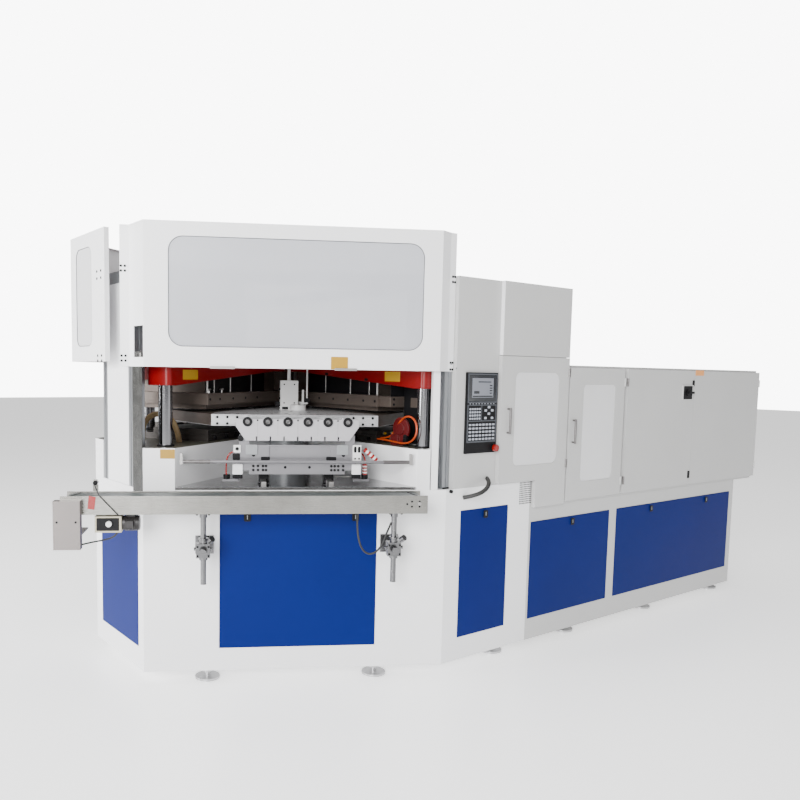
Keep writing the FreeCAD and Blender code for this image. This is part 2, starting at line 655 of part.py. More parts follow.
CROSSHEAD = (562.0, 618.0)
NUT_H = 45.0
PISTON_R = 50.0
HEAD_GAP = 92.0                               # cylinder head below the lowered crosshead
PISTON_IN = 130.0                             # piston rod left inside the raised cylinder


def tie_bars():
    """Three bars, crosshead and piston rod below, nuts on the platen."""
    z0, z1 = CROSSHEAD
    pieces = []
    for spot in BARS:
        xy = station_xy(0, *spot)
        pieces.append(post(xy, BAR_R, z0 - 2, PLATEN_Z))
        pieces.append(post(xy, BAR_R - 5, PLATEN_Z, PLATEN_TOP + NUT_H))
        pieces.append(post(xy, BAR_R + 17, PLATEN_TOP, PLATEN_TOP + NUT_H))
        pieces.append(post(xy, BAR_R + 20, z0 - 2, z1 + 2))
    for a, b in ((NEAR_BAR, SIDE_BAR), (SIDE_BAR, FAR_BAR), (FAR_BAR, NEAR_BAR), (PISTON, SIDE_BAR),
                 (PISTON, NEAR_BAR), (PISTON, FAR_BAR)):
        pieces.append(beam(station_xy(0, *a), station_xy(0, *b), 100.0, z0, z1))
    pieces.append(post(station_xy(0, *PISTON), PISTON_R + 30, z0, z1))
    pieces.append(post(station_xy(0, *PISTON), PISTON_R, z0 - CLAMP_STROKE - HEAD_GAP - PISTON_IN, z0))
    return join(pieces)


def clamp_cylinder():
    xy = station_xy(0, *PISTON)
    floor = FLOOR_GAP + WALL
    top = CROSSHEAD[0] - CLAMP_STROKE - HEAD_GAP
    return post(xy, PISTON_R + 40, floor, top).cut(post(xy, PISTON_R + RUN, floor + 40, top + 1))


TANK_X, TANK_LEN, TANK_H = FRONT_X + 900.0, 900.0, 330.0
MOTOR_R = 100.0


def hydraulics():
    floor = FLOOR_GAP + WALL
    cylinder = clamp_cylinder()
    x0, top, axis = TANK_X, floor + TANK_H, floor + TANK_H + 115.0
    tank = box(x0, x0 + TANK_LEN, MID_Y - 500, MID_Y + 500, floor, top)
    motor = rod((x0 + 120, MID_Y, axis), (x0 + 520, MID_Y, axis), MOTOR_R)
    pump = rod((x0 + 520, MID_Y, axis), (x0 + 700, MID_Y, axis), MOTOR_R - 30)
    feet = [box(x, x + 60, MID_Y - 80, MID_Y + 80, top, axis - 45) for x in (x0 + 160, x0 + 420)]
    return group([cylinder, blow_side(cylinder), join([tank, motor, pump] + feet)])


# ------------------------------------------------------------------ guards
GUARD_OUT = 30.0                              # outer face of the front guard
RETURN_X = LEFT_X - 6.6                       # outer face of its left return
RETURN_Y = 22.0                               # flange of its right return
BLOW_OUT = 150.0
BLOW_X = LEFT_X - 82.0
BLOW_Z = GUARD_Z + 23.0
GUARD_WINDOW = (148.0, FRONT_LEN - 125.0, GUARD_Z + 98.0, GUARD_Z + GUARD_H - 68.0)


def right_return():
    """Fold beside the tall cabinet: flange end first."""
    return [(COLUMN_X - 2.0, RETURN_Y), (6.0, RETURN_Y), front_xy(58.0, GUARD_OUT)]


def guard_rims(s0, s1, out, z0, z1):
    """Folded lips along the lower and upper edge."""
    lips = []
    for z in (z0, z1 - SHEET):
        lips.append(front_box(s0, s1, out - 22.0, out - SHEET + 0.5, z, z + SHEET))
    return lips


def guard_window_cut(window, out0, out1, grow, radius):
    s0, s1, z0, z1 = window
    plate = round_box(s0 - grow, s1 + grow, z0 - grow, z1 + grow, out0, out1, radius + grow)
    return front_turn(plate)


def right_shoe():
    """Slide shoe with its tongue in the groove of the near post."""
    x = POST_X + POST / 2.0
    z0 = GUARD_Z + 60.0
    pad = box(x - 16, x + 16, 25.0 - 0.5, POST_Y - 0.1, z0, z0 + 120)
    tongue = box(x - SLOT_W / 2 + 0.1, x + SLOT_W / 2 - 0.1, POST_Y - 1, POST_Y + SLOT_D - 1, z0, z0 + 120)
    return [pad, tongue]


def rail_shoe(x0, y, z0, height):
    """Slide shoe from a sheet at x0 to the groove of the end rail."""
    pad = box(x0, RAIL_X - 0.1, y - 18, y + 18, z0, z0 + height)
    tongue = box(RAIL_X - 1, RAIL_X + SLOT_D - 1, y - SLOT_W / 2 + 0.1, y + SLOT_W / 2 - 0.1, z0, z0 + height)
    return [pad, tongue]


NOTCH = (110.0, 149.0)                        # cut-out in the left return: width, height


def front_guard():
    s_left = (-RETURN_X - 0.5 * GUARD_OUT) / COS
    corner = front_xy(s_left, GUARD_OUT)
    y_end = MID_Y - RAIL_Y - 12.0
    path = right_return() + [corner, (RETURN_X, y_end), (RETURN_X - 39.0, y_end + 22.5)]
    sheet = folded(path, -SHEET, GUARD_Z, GUARD_Z + GUARD_H)
    lips = guard_rims(70.0, s_left - 15.0, GUARD_OUT, GUARD_Z, GUARD_Z + GUARD_H)
    shoes = right_shoe() + rail_shoe(RETURN_X + 1.0, MID_Y - RAIL_Y, GUARD_Z + 60.0, 120.0)
    y, z = corner[1] + SHEET + 1.0, GUARD_Z + 45.0
    notch = box(RETURN_X - 1, RETURN_X + SHEET + 1, y, y + NOTCH[0], z, z + NOTCH[1])
    window = guard_window_cut(GUARD_WINDOW, GUARD_OUT - SHEET - 1, GUARD_OUT + 1, 0, 70)
    return join([sheet] + lips + shoes).cut([window, notch])


def guard_pane(window, out, radius):
    return guard_window_cut(window, out - SHEET - PANE_T, out - SHEET, 16.0, radius)


BLOW_CORNER_S = (-BLOW_X - 0.5 * BLOW_OUT) / COS
BLOW_CORNER = front_xy(BLOW_CORNER_S, BLOW_OUT)
BLOW_EDGE_Y = MID_Y + 55.0                    # end of its face, past the centre line
BLOW_FOLD = 25.0


def blow_path():
    """Outline of the blow guard, built on the near side and mirrored."""
    edge = [(BLOW_X, BLOW_EDGE_Y), (BLOW_X + BLOW_FOLD, BLOW_EDGE_Y)]
    return right_return() + [front_xy(58.0, BLOW_OUT), BLOW_CORNER] + edge


BLOW_WINDOW = (BLOW_CORNER[1] + 85.0, BLOW_CORNER[1] + 320.0, BLOW_Z + 80.0, GUARD_Z + GUARD_H - 70.0)


def blow_guard():
    top = GUARD_Z + GUARD_H
    sheet = folded(blow_path(), -SHEET, BLOW_Z, top)
    lips = guard_rims(70.0, BLOW_CORNER_S - 15.0, BLOW_OUT, BLOW_Z, top)
    shoes = right_shoe() + rail_shoe(BLOW_X + 1.0, MID_Y - RAIL_Y, BLOW_Z + 3.0, 58.0)
    body = join([sheet] + lips + shoes)
    hole = side_plate(*BLOW_WINDOW, BLOW_X - 1, BLOW_X + SHEET + 1, 50.0)
    return far(body.cut(hole))


def side_plate(y0, y1, z0, z1, x0, x1, radius):
    """Plate in the YZ plane with round corners."""
    plate = box(x0, x1, y0, y1, z0, z1)
    edges = [e for e in plate.Edges if abs(abs(e.tangentAt(e.FirstParameter).x) - 1) < 1e-6]
    return plate.makeFillet(radius, edges)


def blow_window():
    y0, y1, z0, z1 = BLOW_WINDOW
    return far(side_plate(y0 - 15, y1 + 15, z0 - 15, z1 + 15, BLOW_X + SHEET, BLOW_X + SHEET + PANE_T, 60.0))


# ------------------------------------------------------------------ stripping station
RAIL_LAT = 168.0
PLATE_RHO = SWING                              # back of the stripper plate
BAR_RHO = REACH - 17.0
BLOCK_RHO = (PLATE_RHO - 145.0, PLATE_RHO - 65.0)
RAIL_H = 25.0


def stripper_rails():
    rails = [strip_box(lat - 12, lat + 12, BLOCK_RHO[0] - 120, REACH - 6.0, DECK_TOP, DECK_TOP + RAIL_H)
             for lat in (-RAIL_LAT, RAIL_LAT)]
    return group(rails)


def rail_block(lat):
    r0, r1 = BLOCK_RHO
    block = strip_box(lat - 27, lat + 27, r0, r1, DECK_TOP + 4, DECK_TOP + RAIL_H + 30)
    way = strip_box(lat - 12 - RUN, lat + 12 + RUN, r0 - 1, r1 + 1, DECK_TOP + 3, DECK_TOP + RAIL_H + RUN)
    return block.cut(way)


def stripper_carriage():
    back, face = PLATE_RHO - 17.0, PLATE_RHO - 1.0
    pieces = [rail_block(-RAIL_LAT), rail_block(RAIL_LAT)]
    z = DECK_TOP + RAIL_H + 30
    pieces.append(strip_box(-241, 241, BLOCK_RHO[0], face, z, z + 10))
    pieces.append(strip_box(-241, 241, back, face, z + 9, 1108))
    pieces += [strip_box(sign * 270 - 30, sign * 270 + 30, back - 38, face, 1060, 1112) for sign in (-1, 1)]
    pieces += [strip_box(sign * 265 - 25, sign * 265 + 25, back, face + 1, 1111, 1238) for sign in (-1, 1)]
    pieces.append(strip_box(-241, 241, back, face, 1107, 1120))
    pieces.append(strip_box(-241, 241, back, face, 1180, 1188))
    pieces += [strip_box(a, b, back, face, 1119, 1181) for a, b in ((-241, -141), (170, 241))]
    pieces.append(strip_box(-142, 171, back + 4, back + 8, 1119, 1181))
    for sign in (-1, 1):
        pieces.append(strip_box(sign * 205 - 8, sign * 205 + 8, face - 1, BAR_RHO, 1094, 1106))
        outer, inner = sorted((sign * 372, sign * 290))
        pieces.append(strip_box(outer, inner, back - 36, back - 16, 1000, 1012))
        outer, inner = sorted((sign * 300, sign * 290))
        pieces.append(strip_box(outer, inner, back - 36, back - 16, 1000, 1061))
        outer, inner = sorted((sign * 300, sign * 288))
        pieces.append(strip_box(outer, inner, back - 38, back + 1, 1111, 1170))
    (ax, ay), (bx, by) = strip_xy(-575, BAR_RHO), strip_xy(575, BAR_RHO)
    pieces.append(rod((ax, ay, 1108), (bx, by, 1108), 7.5))
    return join(pieces)


def stripper_plate():
    rho0, rho1 = PLATE_RHO, PLATE_RHO + 20.0
    corners = [(-306, 1318), (306, 1318), (306, 1280), (259, 1211), (-259, 1211), (-306, 1280)]
    outline = [Vector(*strip_xy(lat, rho0), z) for lat, z in corners]
    face = Part.Face(Part.makePolygon(outline + outline[:1]))
    (ax, ay), (bx, by) = strip_xy(0, 0), strip_xy(0, 1)
    normal = Vector(bx - ax, by - ay, 0)
    plate = face.extrude(normal * 20.0)
    pieces, holes = [plate], []
    for k in range(6):
        x, y = strip_xy((k - 2.5) * ROD_PITCH, rho1 - 1)
        pieces.append(Part.makeCylinder(21.0, 9.0, Vector(x, y, ROD_Z), normal))
        x, y = strip_xy((k - 2.5) * ROD_PITCH, rho0 - 1)
        holes.append(Part.makeCylinder(12.0, 40.0, Vector(x, y, ROD_Z), normal))
    for k in range(7):
        lat = (k - 3) * 68.0
        holes.append(strip_box(lat - 4, lat + 4, rho0 - 1, rho1 + 1, 1210, 1232))
    return join(pieces).cut(holes)


# ------------------------------------------------------------------ conveyor
CONV_S = (147.0, FRONT_LEN + 345.0)
CONV_OUT = (55.0, 206.0)
CONV_Z = (BASE_TOP - 82.0, BASE_TOP + 4.0)
ROLLER_R = 30.0
BELT_T = 2.0
ROLL_Z = CONV_Z[1] - 6.0 - BELT_T - ROLLER_R
DRIVE_S = CONV_S[1] - 35.0
TAIL_S = CONV_S[0] + 38.0
PIPE_OUT = 125.0
PIPE_S = (289.0, FRONT_LEN - 296.0)


def across(s, out0, out1, z, radius):
    (ax, ay), (bx, by) = front_xy(s, out0), front_xy(s, out1)
    return rod((ax, ay, z), (bx, by, z), radius)


def conveyor_frame():
    s0, s1 = CONV_S
    o0, o1 = CONV_OUT
    sides = [front_box(s0, s1, o0, o0 + SHEET, *CONV_Z), front_box(s0, s1, o1 - SHEET, o1, *CONV_Z)]
    bed = front_box(TAIL_S + 45, DRIVE_S - 45, o0 + 1, o1 - 1, ROLL_Z + ROLLER_R - 3, ROLL_Z + ROLLER_R)
    ties = [front_box(s, s + 30, o0 + 1, o1 - 1, CONV_Z[0], CONV_Z[0] + 8)
            for s in (s0 + 125, 700.0, s1 - 660.0, s1 - 300.0, s1 - 190.0)]
    end = front_box(s0 - 2, s0 + 128, o1 - 1, o1 + 4, *CONV_Z)
    body = join(sides + [bed, end] + ties)
    bores = [across(s, o0 - 1, o1 + 6, ROLL_Z, 8.0 + RUN) for s in (DRIVE_S, TAIL_S)]
    sensor = front_box(s1 - 145, s1 - 120, o0 - 4, o0, CONV_Z[1] - 30, CONV_Z[1] + 30)
    eye = front_box(s1 - 142, s1 - 123, o0 - 12, o0 + 10, CONV_Z[1] + 30, CONV_Z[1] + 55)
    return join([body.cut(bores), sensor, eye])


def conveyor_belt():
    r = ROLLER_R + BELT_T
    inner = ROLLER_R
    o0, o1 = CONV_OUT[0] + 10.0, CONV_OUT[1] - 10.0

    def loop(radius, out0, out1):
        middle = front_box(TAIL_S, DRIVE_S, out0, out1, ROLL_Z - radius, ROLL_Z + radius)
        return join([middle, across(TAIL_S, out0, out1, ROLL_Z, radius),
                     across(DRIVE_S, out0, out1, ROLL_Z, radius)])

    return loop(r, o0, o1).cut(loop(inner, o0 - 1, o1 + 1))


def roller(s, stub):
    o0, o1 = CONV_OUT
    drum = across(s, o0 + 8, o1 - 8, ROLL_Z, ROLLER_R - RUN)
    return join([drum, across(s, o0 - 2, o1 + stub, ROLL_Z, 8.0)])


def gear_cover():
    s0, s1 = CONV_S[1] - 97.0, CONV_S[1] + 22.0
    o0, o1 = CONV_OUT[1], CONV_OUT[1] + 44.0
    z0, z1 = CONV_Z[0] - 153.0, CONV_Z[1] - 16.0
    shell = front_box(s0, s1, o0, o1, z0, z1)
    shell = shell.cut(front_box(s0 + SHEET, s1 - SHEET, o0 - 1, o1 - SHEET, z0 + SHEET, z1 - SHEET))
    ear = front_box(s0 + 1, s0 + 40, o0 - 150, o0, z0 + 60, z0 + 66)
    tab = front_box(s0 + 1, s0 + 40, o0, o0 + 3, z0 + 1, z1 - 1)
    return join([shell, tab, ear])


def speed_box():
    s0, s1 = CONV_S[1] - 272.0, CONV_S[1] - 152.0
    z0, z1 = CONV_Z[0] - 84.0, CONV_Z[0] - 9.0
    body = front_box(s0, s1, 120, 200, z0, z1)
    hook = front_box(s0 + 40, s0 + 80, 125, 160, z1, CONV_Z[0])
    bore = across(s0 + 55, 180, 201, z0 + 42, 3.0 + RUN)
    return join([body, hook]).cut(bore)


def speed_knob():
    s, z = CONV_S[1] - 217.0, CONV_Z[0] - 42.0
    return join([across(s, 200 + FACE_GAP, 218, z, 13.0), across(s, 184, 200 + FACE_GAP, z, 3.0)])


def gear_motor():
    s0, s1 = CONV_S[1] - 350.0, CONV_S[1] - 272.0
    z = CONV_Z[0] - 46.0
    (ax, ay), (bx, by) = front_xy(s0, 160), front_xy(s1, 160)
    hook = front_box(s0 + 20, s1 - 20, 145, 175, z + 20, CONV_Z[0])
    return join([rod((ax, ay, z), (bx, by, z), 34.0), hook])


def bracket(s):
    """Hanging pipe with its clamp hub, stub to the base and top flange."""
    z0, z1 = CONV_Z[0] - 353.0, CONV_Z[0]
    xy = front_xy(s, PIPE_OUT)
    hub = front_box(s - 32, s + 33, PIPE_OUT - 26, PIPE_OUT + 26, z1 - 221, z1 - 153)
    stub = across(s, 8, PIPE_OUT - 20, z1 - 187, 16.0)
    flange = front_box(s - 45, s + 45, 0, 8, z1 - 232, z1 - 142)
    knob = across(s, PIPE_OUT + 20, PIPE_OUT + 52, z1 - 187, 9.0)
    cap = across(s, PIPE_OUT + 52, PIPE_OUT + 66, z1 - 187, 18.0)
    top = front_box(s - 40, s + 40, PIPE_OUT - 40, PIPE_OUT + 40, z1 - 8, z1)
    return join([post(xy, 13.5, z0, z1), hub, stub, flange, knob, cap, top])


# ------------------------------------------------------------------ injection unit
AXIS_Z = BED_TOP + 32.0
UNIT_X = BED_END_X + 160.0                    # near end of the carriage
UNIT_LEN = 1500.0


def injection_unit():
    """Carriage on the ways with barrel, nozzle, hopper and motor; slides along X."""
    tip = OX + MOULD_RHO[1] + 0.5
    x0, x1 = UNIT_X, UNIT_X + UNIT_LEN
    z = REAR_TOP + WAY_H
    pieces = [box(x0, x1, MID_Y - WAY_Y - 60, MID_Y + WAY_Y + 60, z, z + 70)]
    for y in (MID_Y - WAY_Y, MID_Y + WAY_Y):
        for side in (-1, 1):
            low, high = sorted((y + side * 40.5, y + side * 60))
            pieces.append(box(x0, x1, low, high, z - 40, z + 1))
    for x in (x0 + 300, x0 + 1050):
        pieces.append(box(x, x + 120, MID_Y - 130, MID_Y + 130, z + 69, AXIS_Z + 90))
    pieces.append(rod((x0, MID_Y, AXIS_Z), (x0 + 1080, MID_Y, AXIS_Z), 70.0))
    pieces.append(rod((tip + 60, MID_Y, AXIS_Z), (x0 + 1, MID_Y, AXIS_Z), 24.0))
    pieces.append(Part.makeCone(10, 24, 60, Vector(tip, MID_Y, AXIS_Z), Vector(1, 0, 0)))
    pieces.append(rod((x0 + 1160, MID_Y, AXIS_Z), (x0 + 1480, MID_Y, AXIS_Z), 110.0))
    neck = rod((x0 + 850, MID_Y, AXIS_Z), (x0 + 850, MID_Y, AXIS_Z + 160), 45.0)
    cone = Part.makeCone(45, 180, 190, Vector(x0 + 850, MID_Y, AXIS_Z + 159))
    return join(pieces + [neck, cone, post((x0 + 850, MID_Y), 180.0, AXIS_Z + 348, AXIS_Z + 500)])


# ------------------------------------------------------------------ cords
def cord(name, points, diameter, ends):
    """Round cord: straight runs joined by tangent arcs, cut flush at the given solids."""
    path = [Vector(*p) for p in points]
    path[0] = path[0] - (path[1] - path[0]).normalize() * diameter * 0.8
    path[-1] = path[-1] + (path[-1] - path[-2]).normalize() * diameter * 0.8
    runs = [(Vector(*b) - Vector(*a)).Length for a, b in zip(points, points[1:])]
    edges, start, radii = [], path[0], []
    for i in range(1, len(path) - 1):
        a = (path[i] - path[i - 1]).normalize()
        b = (path[i + 1] - path[i]).normalize()
        turn = math.acos(max(-1.0, min(1.0, a.dot(b))))
        back = 0.45 * min(runs[i - 1], runs[i])
        radii.append(back / math.tan(turn / 2.0))
        p0, p1 = path[i] - a * back, path[i] + b * back
        aside = (b - a).normalize()
        centre = path[i] + aside * (back / math.sin(turn / 2.0))
        middle = centre - aside * radii[-1]
        edges += [Part.makeLine(start, p0), Part.Arc(p0, middle, p1).toShape()]
        start = p1
    edges.append(Part.makeLine(start, path[-1]))
    wire = Part.Wire(edges)
    section = Part.Wire(Part.makeCircle(diameter / 2.0, path[0], path[1] - path[0]))
    tube = wire.makePipeShell([section], True, True)
    tube = tube.cut(ends)
    solid = max(tube.Solids, key=lambda s: s.Volume)
    length = sum(e.Length for e in edges) - 1.6 * diameter
    print(name, "length %.0f" % length, "radii", ["%.0f" % r for r in radii],
          "volume ratio %.3f" % (solid.Volume / (length * math.pi * diameter ** 2 / 4.0)))
    return solid


def half_space_y(y):
    """Everything behind a plane of constant Y."""
    return box(-3000, 5000, y, y + 300, 0, 3000)


CONDUIT = [(300, 0, 1010), (275, -45, 995), (215, -70, 960), (160, -50, 935), (125, 0, 920)]


def control_conduit():
    return cord("control_conduit", CONDUIT, 22.0, [half_space_y(0.0)])


def front_points(points):
    return [(*front_xy(s, out), z) for s, out, z in points]


def strip_points(points):
    return [(*strip_xy(lat, rho), z) for lat, rho, z in points]


def blow_points(points):
    """Points given as (rho, lat) of the injection side, mirrored to the blow side."""
    moved = []
    for rho, lat, z in points:
        x, y = station_xy(0, rho, lat)
        d = (x - OX) * COS - (y - OY) * 0.5
        moved.append((x - 2 * d * COS, y + d, z))
    return moved


SPEED_S = CONV_S[1] - 252.0
SPEED_Z = CONV_Z[0] - 84.0
SPEED_CABLE = [(SPEED_S, 160, SPEED_Z), (SPEED_S + 14, 160, SPEED_Z - 28), (SPEED_S + 67, 170, SPEED_Z - 42),
               (SPEED_S + 117, 192, SPEED_Z - 46), (SPEED_S + 155, 212, SPEED_Z - 52)]


def speed_cable():
    box_solid = front_box(SPEED_S - 60, SPEED_S + 60, 120, 200, SPEED_Z, SPEED_Z + 40)
    cover = front_box(CONV_S[1] - 97.0, CONV_S[1], 206, 250, SPEED_Z - 90, SPEED_Z + 30)
    return cord("speed_cable", front_points(SPEED_CABLE), 8.0, [box_solid, cover])


LOOP_TOP = CONV_Z[0]
BRACKET_CABLE = [(470, 125, LOOP_TOP), (474, 128, LOOP_TOP - 88), (452, 132, LOOP_TOP - 188),
                 (405, 134, LOOP_TOP - 220), (352, 132, LOOP_TOP - 183), (325, 128, LOOP_TOP - 108),
                 (302.5, 125, LOOP_TOP - 58)]


def bracket_cable():
    above = front_box(400, 540, 100, 160, LOOP_TOP, LOOP_TOP + 40)
    pipe = post(front_xy(PIPE_S[0], PIPE_OUT), 13.5, LOOP_TOP - 200, LOOP_TOP)
    return cord("bracket_cable", front_points(BRACKET_CABLE), 10.0, [above, pipe])


BLOW_HOSE = [(455, -800, BED_TOP), (458, -806, BED_TOP + 60), (436, -790, BED_TOP + 125),
             (385, -765, BED_TOP + 155), (325, -738, BED_TOP + 130), (290, -722, BED_TOP + 65),
             (283, -718, BED_TOP)]


def blow_hose():
    ground = box(-3000, 3000, -3000, 3000, BED_TOP - 60, BED_TOP)
    return cord("blow_hose", blow_points(BLOW_HOSE), 30.0, [ground])


INJECTION_HOSE = [(-35, 475, 1200), (-38, 405, 1204), (-50, 345, 1246), (-62, 285, 1312), (-74, 212, 1338),
                  (-86, 146, 1316), (-92, 124, 1258), (-90, 160, 1208), (-82, 232, 1188), (-74, 320, 1192),
                  (-66, 400, 1196), (-60, 475, 1196)]


def injection_hose():
    return cord("injection_hose", INJECTION_HOSE, 10.0, [half_space_y(OY - MOULD_LAT)])


def air_tube(sign, name):
    points = [(sign * 352, 702, 1012), (sign * 356, 702, 1062), (sign * 350, 702, 1126),
              (sign * 326, 702, 1150), (sign * 300, 702, 1152)]
    inner, outer = sorted((sign * 299.999, sign * 200))
    wall = strip_box(inner, outer, 680, 730, 1111, 1175)
    pad = strip_box(sign * 352 - 30, sign * 352 + 30, 680, 730, 990, 1012)
    return cord(name, strip_points(points), 8.0, [wall, pad])


# ------------------------------------------------------------------ export
def build():
    parts = {
        "front_base": front_base(), "base_top": base_top(), "rear_base": rear_base(),
        "front_panels": group([front_panel(), far(front_panel()), end_panel()]),
        "side_panels": side_panels(), "clamp_bed": clamp_bed(), "deck_plate": deck_plate(),
        "levelling_feet": levelling_feet(),
        "guard_frame": guard_frame(), "fixed_walls": fixed_walls(), "tall_cabinet": tall_cabinet(),
        "low_cabinet": low_cabinet(), "control_panel": control_panel(), "touch_screen": touch_screen(),
        "e_stop_button": e_stop_button(), "main_switch": main_switch(), "control_door": control_door(),
        "control_door_window": door_window("control", 40), "control_door_handle": door_handle("control"),
        "barrel_door": barrel_door(), "barrel_door_window": door_window("barrel", 30),
        "barrel_door_handle": door_handle("barrel"), "switch_door": switch_door(), "rear_door": rear_door(),
        "turret_column": turret_column(), "turret_table": turret_table(), "air_manifold": air_manifold(),
        "hydraulics": hydraulics(), "front_guard": front_guard(),
        "front_window": guard_pane(GUARD_WINDOW, GUARD_OUT, 70), "blow_guard": blow_guard(),
        "blow_window": blow_window(), "stripper_rails": stripper_rails(),
        "stripper_carriage": stripper_carriage(), "stripper_plate": stripper_plate(),
        "conveyor_frame": conveyor_frame(), "conveyor_belt": conveyor_belt(),
        "drive_roller": roller(DRIVE_S, 20), "tail_roller": roller(TAIL_S, 8), "gear_cover": gear_cover(),
        "gear_motor": gear_motor(), "speed_box": speed_box(), "speed_knob": speed_knob(),
        "conveyor_brackets": group([bracket(s) for s in PIPE_S]), "injection_unit": injection_unit(),
        "control_conduit": control_conduit(), "speed_cable": speed_cable(), "bracket_cable": bracket_cable(),
        "blow_hose": blow_hose(), "injection_hose": injection_hose(),
        "air_tube_left": air_tube(-1, "air_tube_left"), "air_tube_right": air_tube(1, "air_tube_right"),
    }
    for node, make in (("lower_mould", lower_mould), ("platen", platen), ("tie_bars", tie_bars),
                       ("upper_mould", upper_mould)):
        parts["injection_" + node] = make()
        parts["blow_" + node] = blow_side(make())
    return parts


def main():
    parts = build()
    total = FreeCAD.BoundBox()
    for shape in parts.values():
        total.add(shape.BoundBox)
    shift = Vector(-(total.XMin + total.XMax) / 2.0, -(total.YMin + total.YMax) / 2.0, -total.ZMin)
    os.makedirs("parts", exist_ok=True)
    for node, shape in parts.items():
        shape.translate(shift)
        shape.exportStep("parts/" + node + ".step")
    print("shift", tuple(round(v, 3) for v in shift), "nodes", len(parts))


main()
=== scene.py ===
"""Looks of a three-station injection blow moulding machine.

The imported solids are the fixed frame.  Each sub-assembly class below gives the solids of its part
of the machine their finishes and adds the small pieces that sit on them: keys, screws, latches,
patches, hoses and cables.  Lengths are millimetres in machine axes (corner of the base on the
floor, +X along the long side) until ``Machine`` turns them into metres of the frame.
"""

import logging
import math
from dataclasses import dataclass
from enum import Enum
from typing import Callable, Iterable, Sequence

import bmesh
import bpy
from mathutils import Matrix, Vector


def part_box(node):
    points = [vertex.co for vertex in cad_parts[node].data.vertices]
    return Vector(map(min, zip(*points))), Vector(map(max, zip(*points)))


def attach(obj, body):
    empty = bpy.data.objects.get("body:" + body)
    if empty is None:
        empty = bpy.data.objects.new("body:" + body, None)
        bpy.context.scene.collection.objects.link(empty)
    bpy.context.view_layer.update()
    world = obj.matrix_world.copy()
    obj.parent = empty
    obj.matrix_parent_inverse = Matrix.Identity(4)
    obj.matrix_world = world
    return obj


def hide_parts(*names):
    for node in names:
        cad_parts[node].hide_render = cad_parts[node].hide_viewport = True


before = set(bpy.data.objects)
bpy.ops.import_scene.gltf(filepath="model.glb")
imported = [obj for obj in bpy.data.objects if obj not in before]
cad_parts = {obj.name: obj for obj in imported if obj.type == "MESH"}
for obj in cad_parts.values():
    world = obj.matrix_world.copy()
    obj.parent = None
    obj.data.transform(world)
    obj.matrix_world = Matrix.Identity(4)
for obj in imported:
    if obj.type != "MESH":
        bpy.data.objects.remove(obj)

LOG = logging.getLogger("blow_moulding_machine")
COS30 = math.cos(math.radians(30.0))
MM = 0.001
Point = tuple[float, float, float]


# ------------------------------------------------------------------ finishes
class Surface(Enum):
    """Kinds of surface that share a texture."""

    POWDER_COAT = "powder coat"
    BRUSHED = "brushed"
    GROUND = "ground"
    CAST_PAINT = "cast paint"
    MOULDED = "moulded"
    PANE = "pane"


@dataclass(frozen=True)
class Finish:
    """One finish of the machine.

    Attributes:
        name: Name of the Blender material.
        color: Linear base colour.
        slot: Slot of the record's material; not used.
        surface: Texture family.
        roughness: Mean roughness.
        metallic: Metallic value.
        coat: Clear coat weight.
        mottle: Strength of the slow colour change.
        grain: Grains per metre of the bump.
        relief: Height of the bump in metres.
        dust: Share of what settles on upward faces, over 1 for a full cover.
        round_off: Radius of the softened edges in metres.
        alpha: Opacity of a pane.
        settled: Linear colour of what lies on upward faces.
        specular: Specular level of the shader.
    """

    name: str
    color: tuple[float, float, float]
    slot: str
    surface: Surface
    roughness: float = 0.45
    metallic: float = 0.0
    coat: float = 0.0
    mottle: float = 0.04
    grain: float = 700.0
    relief: float = 0.00004
    dust: float = 0.1
    round_off: float = 0.0015
    alpha: float = 1.0
    settled: tuple[float, float, float] = (0.33, 0.31, 0.28)
    specular: float = 0.5


WHITE = Finish("white_powder_coat", (0.8, 0.8, 0.81), "cabinet_white", Surface.POWDER_COAT, 0.38, coat=0.15,
               mottle=0.04, grain=520.0, relief=0.00005, dust=0.12, round_off=0.003)
# With dust over 1 and a near-black settled colour, the clamp bed's upward faces come out near black.
BED_WHITE = Finish("bed_powder_coat", (0.8, 0.8, 0.81), "cabinet_white", Surface.POWDER_COAT, 0.38, coat=0.15,
                   mottle=0.04, grain=520.0, relief=0.00005, dust=3.2, settled=(0.075, 0.072, 0.055),
                   round_off=0.003)
# Painted shade: the white powder coat darkened for the parts on the long side, which faces away from the key light.
SHADED_SIDE_WHITE = Finish("shaded_side_powder_coat", (0.46, 0.46, 0.455), "cabinet_white", Surface.POWDER_COAT, 0.42, coat=0.1,
                    mottle=0.05, grain=520.0, relief=0.00005, dust=0.12, round_off=0.003)
BLUE = Finish("blue_panel_paint", (0.0, 0.0075, 0.105), "panel_blue", Surface.POWDER_COAT, 0.5, mottle=0.1,
              grain=520.0, relief=0.00005, dust=0.0, round_off=0.002, specular=0.1)
STEEL = Finish("brushed_steel", (0.42, 0.41, 0.4), "steel", Surface.BRUSHED, 0.32, metallic=0.95, mottle=0.18,
               grain=260.0, relief=0.00003, dust=0.1)
DECK = Finish("polished_deck_plate", (0.5, 0.5, 0.51), "steel", Surface.GROUND, 0.18, metallic=1.0,
              mottle=0.35, grain=120.0, relief=0.00003, dust=0.12)
SLEEVE = Finish("sleeve_steel", (0.2, 0.19, 0.19), "dark_steel", Surface.GROUND, 0.3, metallic=0.9, mottle=0.2,
                grain=300.0, relief=0.00002, dust=0.05)
STAINLESS = Finish("conveyor_stainless", (0.3, 0.295, 0.275), "steel", Surface.BRUSHED, 0.28, metallic=0.9,
                   mottle=0.45, grain=160.0, relief=0.00004, dust=0.14)
GROUND = Finish("ground_plate", (0.52, 0.52, 0.53), "steel", Surface.GROUND, 0.3, metallic=0.75, mottle=0.14,
                grain=340.0, relief=0.00002, dust=0.08)
